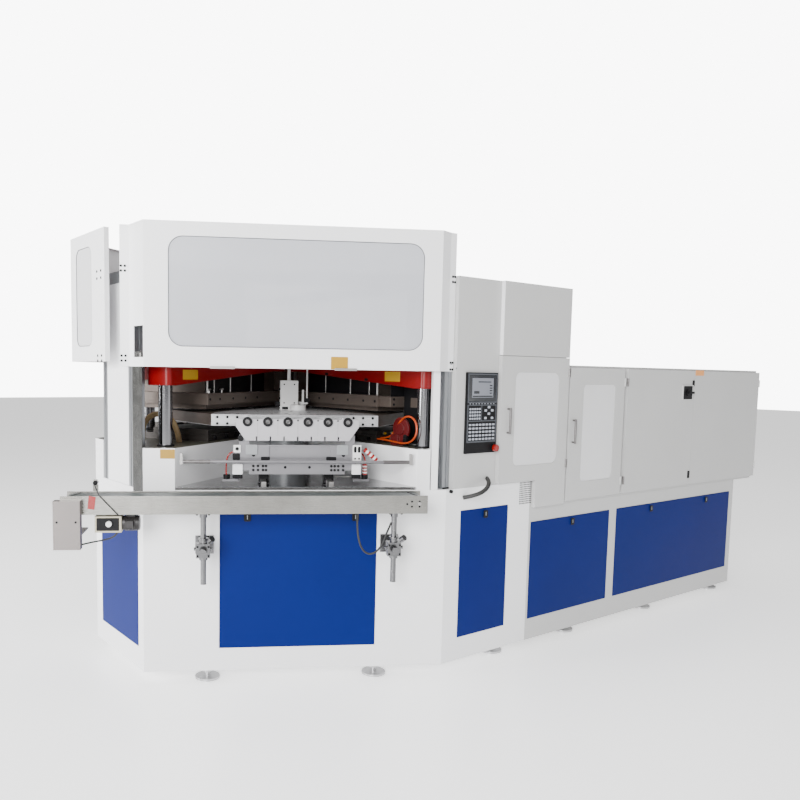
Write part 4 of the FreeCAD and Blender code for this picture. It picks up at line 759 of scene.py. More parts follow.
# ------------------------------------------------------------------ sub-assemblies
@dataclass
class Cabinets:
    """Bases, panels, posts, doors and the cabinet rows.

    Attributes:
        lock_x: Left and right edge of the locks on the switchgear door.
        pane: Near and far edge of the tinted pane at the machine's end.
        side_latches: Place along the long side and height of each latch there.
        front_latches: Places of the latches along both slanted faces.
        end_latch: Place of the latch in the flat end.
        latch_z: Lower and upper edge of the latches in the front base.
        hinges: Place along the side and the height spans of each door's hinge sleeves.
        vent_pitch: Pitch of the holes of the vent.
    """

    lock_x: tuple[float, float] = (2262.0, 2285.0)
    pane: tuple[float, float] = (753.0, 868.0)
    side_latches: tuple[tuple[float, float], ...] = ((291.5, 822.0), (1044.5, 706.0), (1876.0, 707.0),
                                                     (2568.0, 707.0))
    front_latches: tuple[float, ...] = (462.0, 1000.0)
    end_latch: float = 877.5
    latch_z: tuple[float, float] = (815.0, 855.0)
    hinges: tuple[tuple[float, tuple[tuple[float, float], ...]], ...] = (
        (930.0, ((1031.0, 1083.0), (1548.0, 1600.0))), (1512.0, ((891.0, 943.0), (1496.0, 1548.0))))
    vent_pitch: float = 11.5

    def build(self) -> list[bpy.types.Object]:
        """Dress the cabinets and add their fittings.

        Returns:
            The pieces of this part of the machine.
        """
        dress(WHITE, "front_base", "base_top", "fixed_walls")
        dress(BED_WHITE, "clamp_bed")
        # Painted shade: the long side's cabinets and doors take the darkened white.
        dress(SHADED_SIDE_WHITE, "rear_base", "tall_cabinet", "low_cabinet", "control_door", "barrel_door",
              "switch_door", "rear_door")
        dress(BLUE, "front_panels", "side_panels")
        dress(DOOR_PANE, "control_door_window", "barrel_door_window")
        dress(SLEEVE, "control_door_handle", "barrel_door_handle")
        dress(GROUND, "levelling_feet")
        dress(ALUMINIUM, "guard_frame")
        dress(BLACK, "main_switch")
        return [*self.latches(), self.vent(), *self.switch(), self.patch(), self.post_foot(), self.wall_screws(),
                *self.connector(), *self.end_pane(), self.hinge_sleeves(), self.cover_edge_highlight()]

    def latches(self) -> list[bpy.types.Object]:
        """Black quarter-turn latches over the panels' own bosses.

        Returns:
            The finished pieces.
        """
        faces = Piece("panel_latches", BLACK, "machine")
        slots = Piece("latch_slots", GREY_PAINT, "machine", 0.2)
        low, high = self.latch_z
        spots = [(face, mirror * x, 16.0, (z - 22, z + 18), (z - 10, z + 10))
                 for face, mirror in ((SIDE, 1.0), (FAR_SIDE, -1.0)) for x, z in self.side_latches]
        spots += [(face, mirror * s, 17.0, (low, high + 2.0), (826.0, 846.0))
                  for face, mirror in ((FRONT, -1.0), (BACK, 1.0)) for s in self.front_latches]
        spots.append((END, -self.end_latch, 16.0, (low, high), (826.0, 846.0)))
        for face, u, half, v, slot in spots:
            faces.round_plate(face, (u - half, u + half), v, (7.2, 10.0), 6.0)
            slots.block(face, (u - 2, u + 2), slot, (9.8, 11.2))
        return [faces.done(), slots.done()]

    def vent(self) -> bpy.types.Object:
        """Perforated vent in the side of the front base, below the control door.

        Returns:
            The finished piece.
        """
        piece = Piece("side_vent", BLACK, "machine", 0.0)
        for row in range(12):
            for column in range(9):
                piece.disc(SIDE, 571.0 + column * self.vent_pitch, 849.0 + row * self.vent_pitch,
                           (-SINK, 0.7), 4.1, 10)
        return piece.done()

    def switch(self) -> list[bpy.types.Object]:
        """Plate and locks of the switchgear door.

        Returns:
            The finished pieces.
        """
        plate = Piece("switch_plate", BLACK, "switch_door")
        plate.round_plate(SIDE, (2148.0, 2256.0), (1414.0, 1502.0), (30.8, 32.0), 6.0)
        lock = Piece("door_locks", BLACK, "switch_door")
        lock.round_plate(SIDE, self.lock_x, (880.0, 930.0), (24.8, 29.0), 5.0)
        lock.round_plate(SIDE, self.lock_x, (1500.0, 1540.0), (24.8, 29.0), 5.0)
        return [plate.done(), lock.done()]

    def patch(self) -> bpy.types.Object:
        """Small plain patch at the top of the door seam.

        Returns:
            The finished piece.
        """
        piece = Piece("seam_patch", ORANGE_PATCH, "rear_door", 0.0)
        piece.round_plate(SIDE, (2295.0, 2404.0), (1572.0, 1608.0), (24.9, 25.5), 4.0)
        return piece.done()

    def post_foot(self) -> bpy.types.Object:
        """Foot plate and black knob of the post beside the tall cabinet.

        Returns:
            The finished piece.
        """
        piece = Piece("post_foot", BLACK, "machine")
        piece.disc(SIDE, 30.0, 960.0, (-0.3, 12.0), 9.0)
        piece.block(SIDE, (2.0, 43.0), (970.0, 978.0), (-30.0, -24.0))
        return piece.done()

    def wall_screws(self) -> bpy.types.Object:
        """Screws of the walls beside the opening.

        Returns:
            The finished piece.
        """
        piece = Piece("wall_screws", GREY_PAINT, "machine", 0.3)
        piece.screws(SIDE, [(8.0, 1604.0), (46.0, 1583.0)], 0.0, 4.5, 1.6)
        return piece.done()

    def connector(self) -> list[bpy.types.Object]:
        """Pink connector at the foot of the corner wall.

        Returns:
            The finished pieces.
        """
        body = Piece("corner_connector", PINK, "machine", 0.6)
        body.round_plate(FRONT, (-112.0, -92.0), (971.0, 1003.0), (-34.0, -16.0), 4.0)
        cap = Piece("corner_connector_cap", KNOB_WHITE, "machine", 0.6)
        cap.round_plate(FRONT, (-109.0, -95.0), (1002.0, 1014.0), (-32.0, -18.0), 3.0)
        return [body.done(), cap.done()]

    def hinge_sleeves(self) -> bpy.types.Object:
        """Dark sleeves over the hinge knuckles of the doors.

        Returns:
            The finished piece.
        """
        piece = Piece("hinge_sleeves", SLEEVE, "machine", 0.4)
        for x, spans in self.hinges:
            for z0, z1 in spans:
                piece.rod(SIDE.point(x, z0 + 1.0, 25.0), SIDE.point(x, z1 - 1.0, 25.0), 6.8, 20)
        return piece.done()

    def cover_edge_highlight(self) -> bpy.types.Object:
        """Painted highlight: a white strip on the lit edge of the cover plate beside the control panel.

        Returns:
            The finished piece.
        """
        # Painted highlight: white strip along the edge that faces the light.
        piece = Piece("cover_plate_highlight", WHITE, "machine", 0.0)
        edge = Face((366.0, 0.0, 0.0), (0.0, -1.0, 0.0), (-1.0, 0.0, 0.0))
        piece.block(edge, (0.2, 23.8), (1658.0, 2042.0), (-0.3, 0.6))
        return piece.done()

    def end_pane(self) -> list[bpy.types.Object]:
        """Tinted pane between the post and the clamp bed, hung outside the end face.

        Returns:
            The finished pieces.
        """
        near, far = self.pane
        sheet = Piece("end_pane", DARK_PANE, "machine", 0.4)
        sheet.round_plate(END, (-far, -near), (932.0, 1640.0), (0.2, 2.8), 4.0)
        screws = Piece("end_pane_screws", STEEL, "machine", 0.3)
        screws.screws(END, grid([-far + 16.0, -near - 16.0], [950.0]), 2.8, 5.0, 1.8)
        screws.block(END, (-near - 26.0, -near - 8.0), (1596.0, 1632.0), (2.4, 4.4))
        return [sheet.done(), screws.done()]


@dataclass
class ControlStation:
    """Control panel with its screen and keys.

    Attributes:
        out: How far the panel stands out of the long side.
        left: Left edge of the panel.
        right: Right edge of the panel.
        rim: Distance of the bezel from both edges.
        number_pad: Centre of the lower left number key, and the pitch of the keys both ways.
        arrows: Centres of the arrow keys.
        function_pad: Centre of the lower left function key, and the pitch of the keys both ways.
    """

    out: float = 12.0
    left: float = 116.0
    right: float = 346.0
    rim: float = 6.0
    number_pad: tuple[float, float, float, float] = (142.0, 1328.0, 17.5, 16.5)
    arrows: tuple[tuple[float, float], ...] = ((281, 1386), (256, 1369), (306, 1369), (281, 1352), (256, 1330),
                                               (306, 1330))
    function_pad: tuple[float, float, float, float] = (143.0, 1222.0, 25.0, 18.5)

    def build(self) -> list[bpy.types.Object]:
        """Dress the panel and add bezel, display and keys.

        Returns:
            The pieces of this part of the machine.
        """
        dress(BLACK, "control_panel")
        dress(SCREEN_GLASS, "touch_screen")
        dress(STOP_RED, "e_stop_button")
        return [self.bezel(), *self.display(), self.keys(), self.pads(), self.stop_mark()]

    def bezel(self) -> bpy.types.Object:
        """Grey frame round the screen and the key field.

        Returns:
            The finished piece.
        """
        piece = Piece("panel_bezel", PANEL_GREY, "machine", 0.4)
        w = (self.out - 0.2, self.out + 3.5)
        left, right = self.left + self.rim, self.right - self.rim
        piece.block(SIDE, (left, right), (1552.0, 1560.0), w)
        piece.block(SIDE, (left, right), (1408.0, 1416.0), w)
        for u in ((left, left + 5), (right - 5, right)):
            piece.block(SIDE, u, (1416.0, 1552.0), w)
        piece.block(SIDE, (left, right), (1204.0, 1400.0), (self.out - 0.2, self.out + 1.5))
        return piece.done()

    def pads(self) -> bpy.types.Object:
        """Black fields under the keys.

        Returns:
            The finished piece.
        """
        piece = Piece("key_fields", BLACK, "machine", 0.2)
        w = (self.out + 1.3, self.out + 2.2)
        piece.round_plate(SIDE, (130.0, 224.0), (1318.0, 1394.0), w, 4.0)
        piece.round_plate(SIDE, (230.0, 332.0), (1318.0, 1394.0), w, 4.0)
        piece.round_plate(SIDE, (130.0, 332.0), (1212.0, 1312.0), w, 4.0)
        return piece.done()

    def display(self) -> list[bpy.types.Object]:
        """Lit area of the screen with plain blocks.

        Returns:
            The finished pieces.
        """
        field = Piece("display_field", DISPLAY, "machine", 0.0)
        field.block(SIDE, (152.0, 310.0), (1436.0, 1536.0), (self.out + 1.9, self.out + 2.5))
        marks = Piece("display_blocks", SCREEN_GLASS, "machine", 0.0)
        w = (self.out + 2.4, self.out + 2.8)
        marks.block(SIDE, (165.0, 205.0), (1456.0, 1470.0), w)
        marks.block(SIDE, (196.0, 292.0), (1514.0, 1519.0), w)
        for k in range(4):
            marks.block(SIDE, (282.0, 302.0), (1456.0 + k * 13, 1462.0 + k * 13), w)
        marks.block(SIDE, (156.0, 306.0), (1439.0, 1446.0), w)
        return [field.done(), marks.done()]

    def keys(self) -> bpy.types.Object:
        """Number keys, arrow keys and rows of function keys.

        Returns:
            The finished piece.
        """
        piece = Piece("panel_keys", KEY_WHITE, "machine", 0.5)
        w = (self.out + 2.0, self.out + 4.0)
        u0, v0, across, up = self.number_pad
        for u, v in grid([u0 + k * across for k in range(5)], [v0 + k * up for k in range(4)]):
            piece.round_plate(SIDE, (u - 6, u + 6), (v - 5, v + 5), w, 2.0)
        for u, v in self.arrows:
            piece.round_plate(SIDE, (u - 9, u + 9), (v - 6, v + 6), w, 3.0)
        u0, v0, across, up = self.function_pad
        for row in range(5):
            v = v0 + row * up
            for column in range(8):
                u = u0 + column * across
                piece.round_plate(SIDE, (u - 8.5, u + 8.5), (v - 5, v + 5), w, 2.0)
        for column in range(9):
            u = 142.0 + column * 22.0
            piece.round_plate(SIDE, (u - 5, u + 5), (1402.5, 1406.0), (self.out, self.out + 1.0), 1.2)
        return piece.done()

    def stop_mark(self) -> bpy.types.Object:
        """Lighter cap in the middle of the stop button.

        Returns:
            The finished piece.
        """
        piece = Piece("stop_button_cap", STOP_RED, "e_stop", 1.5)
        piece.disc(SIDE, 325.0, 1172.0, (36.0, 40.0), 15.0, 28)
        return piece.done()


@dataclass
class MouldBay:
    """Turret, clamps and what stands between the bed and the platens.

    Attributes:
        table_top: Height of the turret table.
        plate_top: Top of the upper mould plates.
        face_rho: Distance of the mould plates' inner faces from the turret axis.
        backing_rho: Distance of the backing blocks' inner faces.
        platen_rho: Distance of the platens' inner faces.
        under_low: Underside of a platen at its near tie bar.
        under_rise: Climb of that underside over ``under_run``.
        under_run: Length of the slope.
        near_bar: Side offset of the near tie bar.
        rod_rho: Distance of the guide rods from the turret axis.
        eye_rho: Distance of the lifting eyes.
        line_z: Height of the lower row of hose tails.
    """

    table_top: float = 1331.0
    plate_top: float = 1432.0
    face_rho: float = 180.0
    backing_rho: float = 240.0
    platen_rho: float = 154.2
    under_low: float = 1478.0
    under_rise: float = 78.0
    under_run: float = 1037.0
    near_bar: float = 925.0
    rod_rho: float = 205.0
    eye_rho: float = 200.0
    line_z: float = 1193.0

    def build(self) -> list[bpy.types.Object]:
        """Dress the turret and the clamps and add their small pieces.

        Returns:
            The pieces of this part of the machine.
        """
        dress(DECK, "deck_plate")
        dress(GROUND, "turret_table")
        dress(GREY_PAINT, "turret_column")
        dress(KNOB_WHITE, "air_manifold")
        dress(GREY_PAINT, "hydraulics")
        # Painted shade: the injection unit takes the darkened white as well.
        dress(SHADED_SIDE_WHITE, "injection_unit")
        for side in ("injection", "blow"):
            dress(RED, side + "_platen")
            dress(CHROME, side + "_tie_bars")
            dress(LOWER_STEEL, side + "_lower_mould")
            dress(UPPER_STEEL, side + "_upper_mould")
        return [self.table_screws(), self.table_holes(), self.table_shadows(), *self.manifold_ports(),
                *self.thin_rods(), *self.patches(), self.notches(), *self.backing_shade_skins(), *self.plate_ends(),
                *self.cover_disc(), self.mould_fittings(), *self.line_marks(), self.bar_collars(),
                self.bar_brackets(), self.back_shade_sheet(), *self.column_shade_sheet()]

    def under(self, tau: float) -> float:
        """Height of a platen's underside at a side offset."""
        return self.under_low + (self.near_bar - tau) * self.under_rise / self.under_run

    def table_screws(self) -> bpy.types.Object:
        """Socket screws at both ends of every neck bar.

        Returns:
            The finished piece.
        """
        piece = Piece("table_screws", BLACK, "turret", 0.4)
        for turn in (0.0, 120.0, 240.0):
            c, n = math.cos(math.radians(turn)), math.sin(math.radians(turn))
            face = Face((OX, OY, 0.0), (-n, c, 0.0), (c, n, 0.0))
            columns = [sign * u for sign in (-1, 1) for u in (301.0, 351.0, 402.0)]
            piece.screws(face, grid(columns, [1285.0, 1318.0]), 612.0, 7.0, 1.5)
        return piece.done()

    def table_holes(self) -> bpy.types.Object:
        """Bores and screw heads on top of the table.

        Returns:
            The finished piece.
        """
        piece = Piece("table_holes", BLACK, "turret", 0.0)
        low, high = self.table_top - 1.0, self.table_top + 0.7
        for turn in range(3):
            for rho, lat, radius in ((520.0, -300.0, 9.0), (520.0, -120.0, 7.0), (520.0, 120.0, 7.0),
                                     (520.0, 300.0, 9.0), (400.0, -250.0, 6.0), (400.0, 250.0, 6.0),
                                     (330.0, -90.0, 10.0), (330.0, 90.0, 10.0), (230.0, 0.0, 8.0),
                                     (560.0, -30.0, 5.0), (560.0, 30.0, 5.0), (455.0, -40.0, 12.0),
                                     (455.0, 180.0, 5.0), (300.0, -190.0, 5.0)):
                x, y = station(turn, rho, lat)
                piece.rod(MACHINE.meters(x, y, low), MACHINE.meters(x, y, high), radius, 14)
        return piece.done()

    def table_shadows(self) -> bpy.types.Object:
        """Painted shadow on the table's top and side edge at the corners between the stations.

        Returns:
            The finished piece.
        """
        piece = Piece("table_shadows", PAINTED_SHADOW_BROWN, "turret", 0.4)
        # Dark slabs of painted shadow on the table top, and a thin one down its side edge.
        plan = [(600.0, -433.0), (397.0, -422.0), (150.0, -330.0), (166.0, -555.0), (74.9, -736.2)]
        edge = [(600.0, -433.0), (74.9, -736.2), (74.4, -737.1), (599.5, -433.9)]
        for turn in range(3):
            piece.slab([station(turn, *spot) for spot in plan], self.table_top - 0.5, self.table_top + 1.2)
            piece.slab([station(turn, *spot) for spot in edge], 1275.0, self.table_top + 1.2)
        return piece.done()

    def manifold_ports(self) -> list[bpy.types.Object]:
        """Screws, slot and valve bodies of the white block over the turret.

        Returns:
            The finished pieces.
        """
        ports = Piece("manifold_ports", BLACK, "turret_lift", 0.3)
        ports.screws(STRIP, grid([-30.0, 30.0], [1372.0, 1480.0]), 45.0, 4.5, 0.8)
        ports.round_plate(STRIP, (-42.0, -6.0), (1333.0, 1349.0), (44.5, 46.0), 3.0)
        ports.block(STRIP, (-60.0, -51.5), (1392.0, 1404.0), (10.0, 44.0))
        ports.block(STRIP, (-60.0, -51.5), (1446.0, 1458.0), (10.0, 44.0))
        valve = Piece("manifold_valves", BLACK, "turret_lift", 1.0)
        valve.round_plate(STRIP, (-80.0, -51.5), (1352.0, 1378.0), (0.0, 38.0), 4.0)
        valve.round_plate(STRIP, (92.5, 124.0), (1376.0, 1400.0), (-12.0, 12.0), 4.0)
        ring = Piece("collar_ring", STEEL, "turret_lift", 1.0)
        x, y = station(0, 70.0, 49.0)
        ring.rod(MACHINE.meters(x, y, 1360.0), MACHINE.meters(x, y, 1363.0), 40.0, 36)
        return [ports.done(), valve.done(), ring.done()]

    def thin_rods(self) -> list[bpy.types.Object]:
        """Guide rods and air lines between each upper mould and its platen.

        Returns:
            The finished pieces.
        """
        made = []
        for side, face, sign in CLAMP_SIDES:
            piece = Piece(side + "_guide_rods", STEEL, side + "_clamp", 0.0)
            for tau, radius in ((90.0, 3.0), (330.0, 4.0), (500.0, 3.0), (570.0, 6.0)):
                piece.rod(face.point(sign * tau, self.plate_top - 1.0, -self.rod_rho),
                          face.point(sign * tau, self.under(tau) + 1.0, -self.rod_rho), radius, 10)
            made.append(piece.done())
        return made

    def patches(self) -> list[bpy.types.Object]:
        """Plain yellow patches where the machine carries its plates.

        Returns:
            The finished pieces.
        """
        w = (-self.platen_rho - 0.1, -self.platen_rho + 0.8)
        inject = Piece("injection_platen_patch", YELLOW, "injection_clamp", 0.0)
        inject.round_plate(INJECT_IN, (690.0, 811.0), (1511.0, 1562.0), w, 3.0)
        blow = Piece("blow_platen_patch", YELLOW, "blow_clamp", 0.0)
        blow.round_plate(BLOW_IN, (-873.0, -739.0), (1506.0, 1555.0), w, 3.0)
        bed = Piece("bed_patch", YELLOW, "machine", 0.0)
        bed.round_plate(FRONT, (-1423.0, -1352.0), (1124.0, 1170.0), (-0.3, 0.6), 3.0)
        return [inject.done(), blow.done(), bed.done()]

    def notches(self) -> bpy.types.Object:
        """Slots in the lower edge of the injection platen.

        Returns:
            The finished piece.
        """
        piece = Piece("platen_notches", BLACK, "injection_clamp", 0.0)
        for tau in (167.0, 533.0):
            z = self.under(tau)
            piece.round_plate(INJECT_IN, (tau - 14, tau + 14), (z + 3.0, z + 17.0),
                              (-self.platen_rho - 0.3, -self.platen_rho + 1.0), 4.0)
        return piece.done()

    def backing_shade_skins(self) -> list[bpy.types.Object]:
        """Black skins of painted shade on the inner faces of the backing blocks, up to the platens' underside.

        Returns:
            The finished pieces.
        """
        made = []
        for side, face, sign in CLAMP_SIDES:
            # Painted shade: black skin over the gap between the mould plate and the platen.
            piece = Piece(side + "_backing_shade", BLACK, side + "_clamp", 0.0)
            low, high = -136.0, 538.0
            outline = [(sign * low, self.plate_top + 0.5), (sign * high, self.plate_top + 0.5),
                       (sign * high, self.under(high) - 0.5), (sign * low, self.under(low) - 0.5)]
            piece.prism(face, outline, -self.backing_rho - 0.3, -self.backing_rho + 0.9)
            made.append(piece.done())
        return made

    def plate_ends(self) -> list[bpy.types.Object]:
        """Screws, end block, a black sheet of painted shade above it, plug of the mould plates, and the lifting eyes.

        Returns:
            The finished pieces.
        """
        screws = Piece("injection_plate_screws", BLACK, "injection_clamp", 0.4)
        screws.screws(MOULD_END, grid([224.0, 396.0], [1386.0, 1414.0]), 88.0, 7.0, 1.5)
        screws.screws(INJECT_IN, grid([60.0, 200.0, 340.0, 480.0, 580.0], [1400.0]), -self.face_rho, 7.0, 1.5)
        block = Piece("injection_end_block", UPPER_STEEL, "injection_clamp", 1.0)
        block.round_plate(MOULD_END, (200.0, 420.0), (1371.0, 1429.0), (-0.5, 88.0), 4.0)
        # Painted shade: black sheet in the gap between the end block and the platen's underside.
        cover = Piece("injection_end_shade", BLACK, "injection_clamp", 0.0)
        top = self.under(688.0) - 1.0
        cover.prism(MOULD_END, [(205.0, 1428.5), (420.0, 1428.5), (420.0, top), (205.0, top)], 82.0, 86.0)
        plug = Piece("injection_plate_plug", TUBE_RED, "injection_clamp", 0.6)
        plug.disc(MOULD_END, 346.0, 1401.0, (87.5, 96.0), 8.0)
        blow = Piece("blow_plate_screws", BLACK, "blow_clamp", 0.4)
        blow.screws(BLOW_IN, grid([-60.0, -200.0, -340.0, -480.0, -580.0], [1400.0]), -self.face_rho, 7.0, 1.5)
        eyes = Piece("blow_plate_eyes", STEEL, "blow_clamp", 0.6)
        for tau in (430.0, 560.0):
            eyes.rod(BLOW_IN.point(-tau, self.plate_top - 1.0, -self.eye_rho),
                     BLOW_IN.point(-tau, self.plate_top + 16.0, -self.eye_rho), 6.0, 14)
            eyes.rod(BLOW_IN.point(-tau - 12.0, self.plate_top + 20.0, -self.eye_rho),
                     BLOW_IN.point(-tau + 12.0, self.plate_top + 20.0, -self.eye_rho), 6.0, 14)
        return [screws.done(), block.done(), cover.done(), plug.done(), blow.done(), eyes.done()]

    def cover_disc(self) -> list[bpy.types.Object]:
        """Round dark red cover on the bed behind the orange hose, with its clamp.

        Returns:
            The finished pieces.
        """
        piece = Piece("round_cover", DARK_RED, "machine", 2.0)
        face = Face((-45.0, 0.0, 0.0), (0.0, -1.0, 0.0), (-1.0, 0.0, 0.0))
        piece.disc(face, -290.0, 1262.0, (0.0, 14.0), 62.0, 40)
        piece.disc(face, -290.0, 1262.0, (13.0, 20.0), 30.0, 32)
        piece.block(face, (-312.0, -268.0), (BED_TOP - 0.2, 1215.0), (2.0, 12.0))
        piece.round_plate(face, (-360.0, -300.0), (BED_TOP - 0.2, 1230.0), (4.0, 24.0), 12.0)
        clip = Piece("hose_clip", BLACK, "machine", 0.8)
        clip.round_plate(face, (-262.0, -238.0), (BED_TOP - 0.2, 1214.0), (2.0, 22.0), 4.0)
        clip.disc(face, -250.0, 1222.0, (4.0, 20.0), 13.0, 20)
        return [piece.done(), clip.done()]

    def mould_fittings(self) -> bpy.types.Object:
        """Round hose tails along the inner edge of the lower moulds.

        Returns:
            The finished piece.
        """
        piece = Piece("mould_fittings", BLACK, "machine", 0.5)
        for tau in (-60.0, 60.0, 180.0, 300.0, 420.0, 540.0):
            for _, face, sign in CLAMP_SIDES:
                piece.disc(face, sign * tau, self.line_z, (-self.face_rho - 0.2, -168.0), 9.0, 12)
        return piece.done()

    def line_marks(self) -> list[bpy.types.Object]:
        """Water nipples and their pipes on the near side of the lower moulds.

        Returns:
            The finished pieces.
        """
        brass = Piece("water_nipples", YELLOW, "machine", 0.4)
        rings = Piece("water_nipple_rings", STEEL, "machine", 0.4)
        for k in range(5):
            u = 226.0 + k * 58.0
            brass.disc(MOULD_END, u, self.line_z, (-0.5, 16.0), 8.0, 16)
            rings.disc(MOULD_END, u, self.line_z, (-0.3, 5.0), 11.5, 6)
            brass.disc(MOULD_END, u + 14.0, 1224.0, (-8.5, 8.0), 6.5, 16)
            rings.disc(MOULD_END, u + 14.0, 1224.0, (-8.3, -2.0), 9.5, 6)
        return [brass.done(), rings.done()]

    def bar_collars(self) -> bpy.types.Object:
        """Wiper rings where the near tie bars enter the bed.

        Returns:
            The finished piece.
        """
        piece = Piece("tie_bar_wipers", BLACK, "machine", 0.8)
        for _, face, sign in CLAMP_SIDES:
            centre = face.point(sign * self.near_bar, BED_TOP, -222.0)
            piece.rod(centre, centre + Vector((0.0, 0.0, 7.0 * MM)), 44.0, 36)
        return piece.done()

    def column_shade_sheet(self) -> list[bpy.types.Object]:
        """Black sheet of painted shade on the inner side of the cabinet column, with a block and a red plug.

        Returns:
            The finished pieces.
        """
        low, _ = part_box("tall_cabinet")
        face = Face(((low[0] - MACHINE.corner_x) / MM, 0.0, 0.0), (0.0, -1.0, 0.0), (-1.0, 0.0, 0.0))
        # Painted shade: black sheet over the column's inner side, which lies in shade inside the clamp bay.
        liner = Piece("column_shade_sheet", BLACK, "machine", 0.0)
        liner.block(face, (-385.0, -84.0), (BED_TOP + 0.2, 1640.0), (-0.3, 1.0))
        block = Piece("column_block", UPPER_STEEL, "machine", 0.6)
        block.round_plate(face, (-330.0, -110.0), (1372.0, 1424.0), (0.8, 4.0), 3.0)
        plug = Piece("column_plug", TUBE_RED, "machine", 0.4)
        plug.disc(face, -180.0, 1404.0, (3.8, 5.5), 8.0)
        return [liner.done(), block.done(), plug.done()]

    def back_shade_sheet(self) -> bpy.types.Object:
        """Dark sheet of painted shade that stands on the base behind the turret, in the gap between the two clamps.

        Returns:
            The finished piece.
        """
        # Painted shade: a dark sheet where the gap between the clamps is seen dark.
        piece = Piece("back_shade_sheet", PAINTED_SHADOW_BROWN, "machine", 0.6)
        foot = BASE_TOP - 0.2
        piece.round_plate(STRIP, (-140.0, 140.0), (foot, 1720.0), (-977.0, -975.0), 6.0)
        piece.round_plate(STRIP, (-140.0, 140.0), (foot, 972.0), (-976.0, -946.0), 1.0)
        return piece.done()

    def bar_brackets(self) -> bpy.types.Object:
        """Small brackets that hold the guide bar's ends at the front corners.

        Returns:
            The finished piece.
        """
        piece = Piece("guide_bar_brackets", STEEL, "stripper", 0.6)
        for lat in (-575.0, 575.0):
            inner, outer = (12.0, 2.4) if lat > 0.0 else (2.4, 12.0)
            piece.round_plate(STRIP, (lat - inner, lat + outer), (1094.0, 1150.0), (782.0, 798.0), 4.0)
        return piece.done()


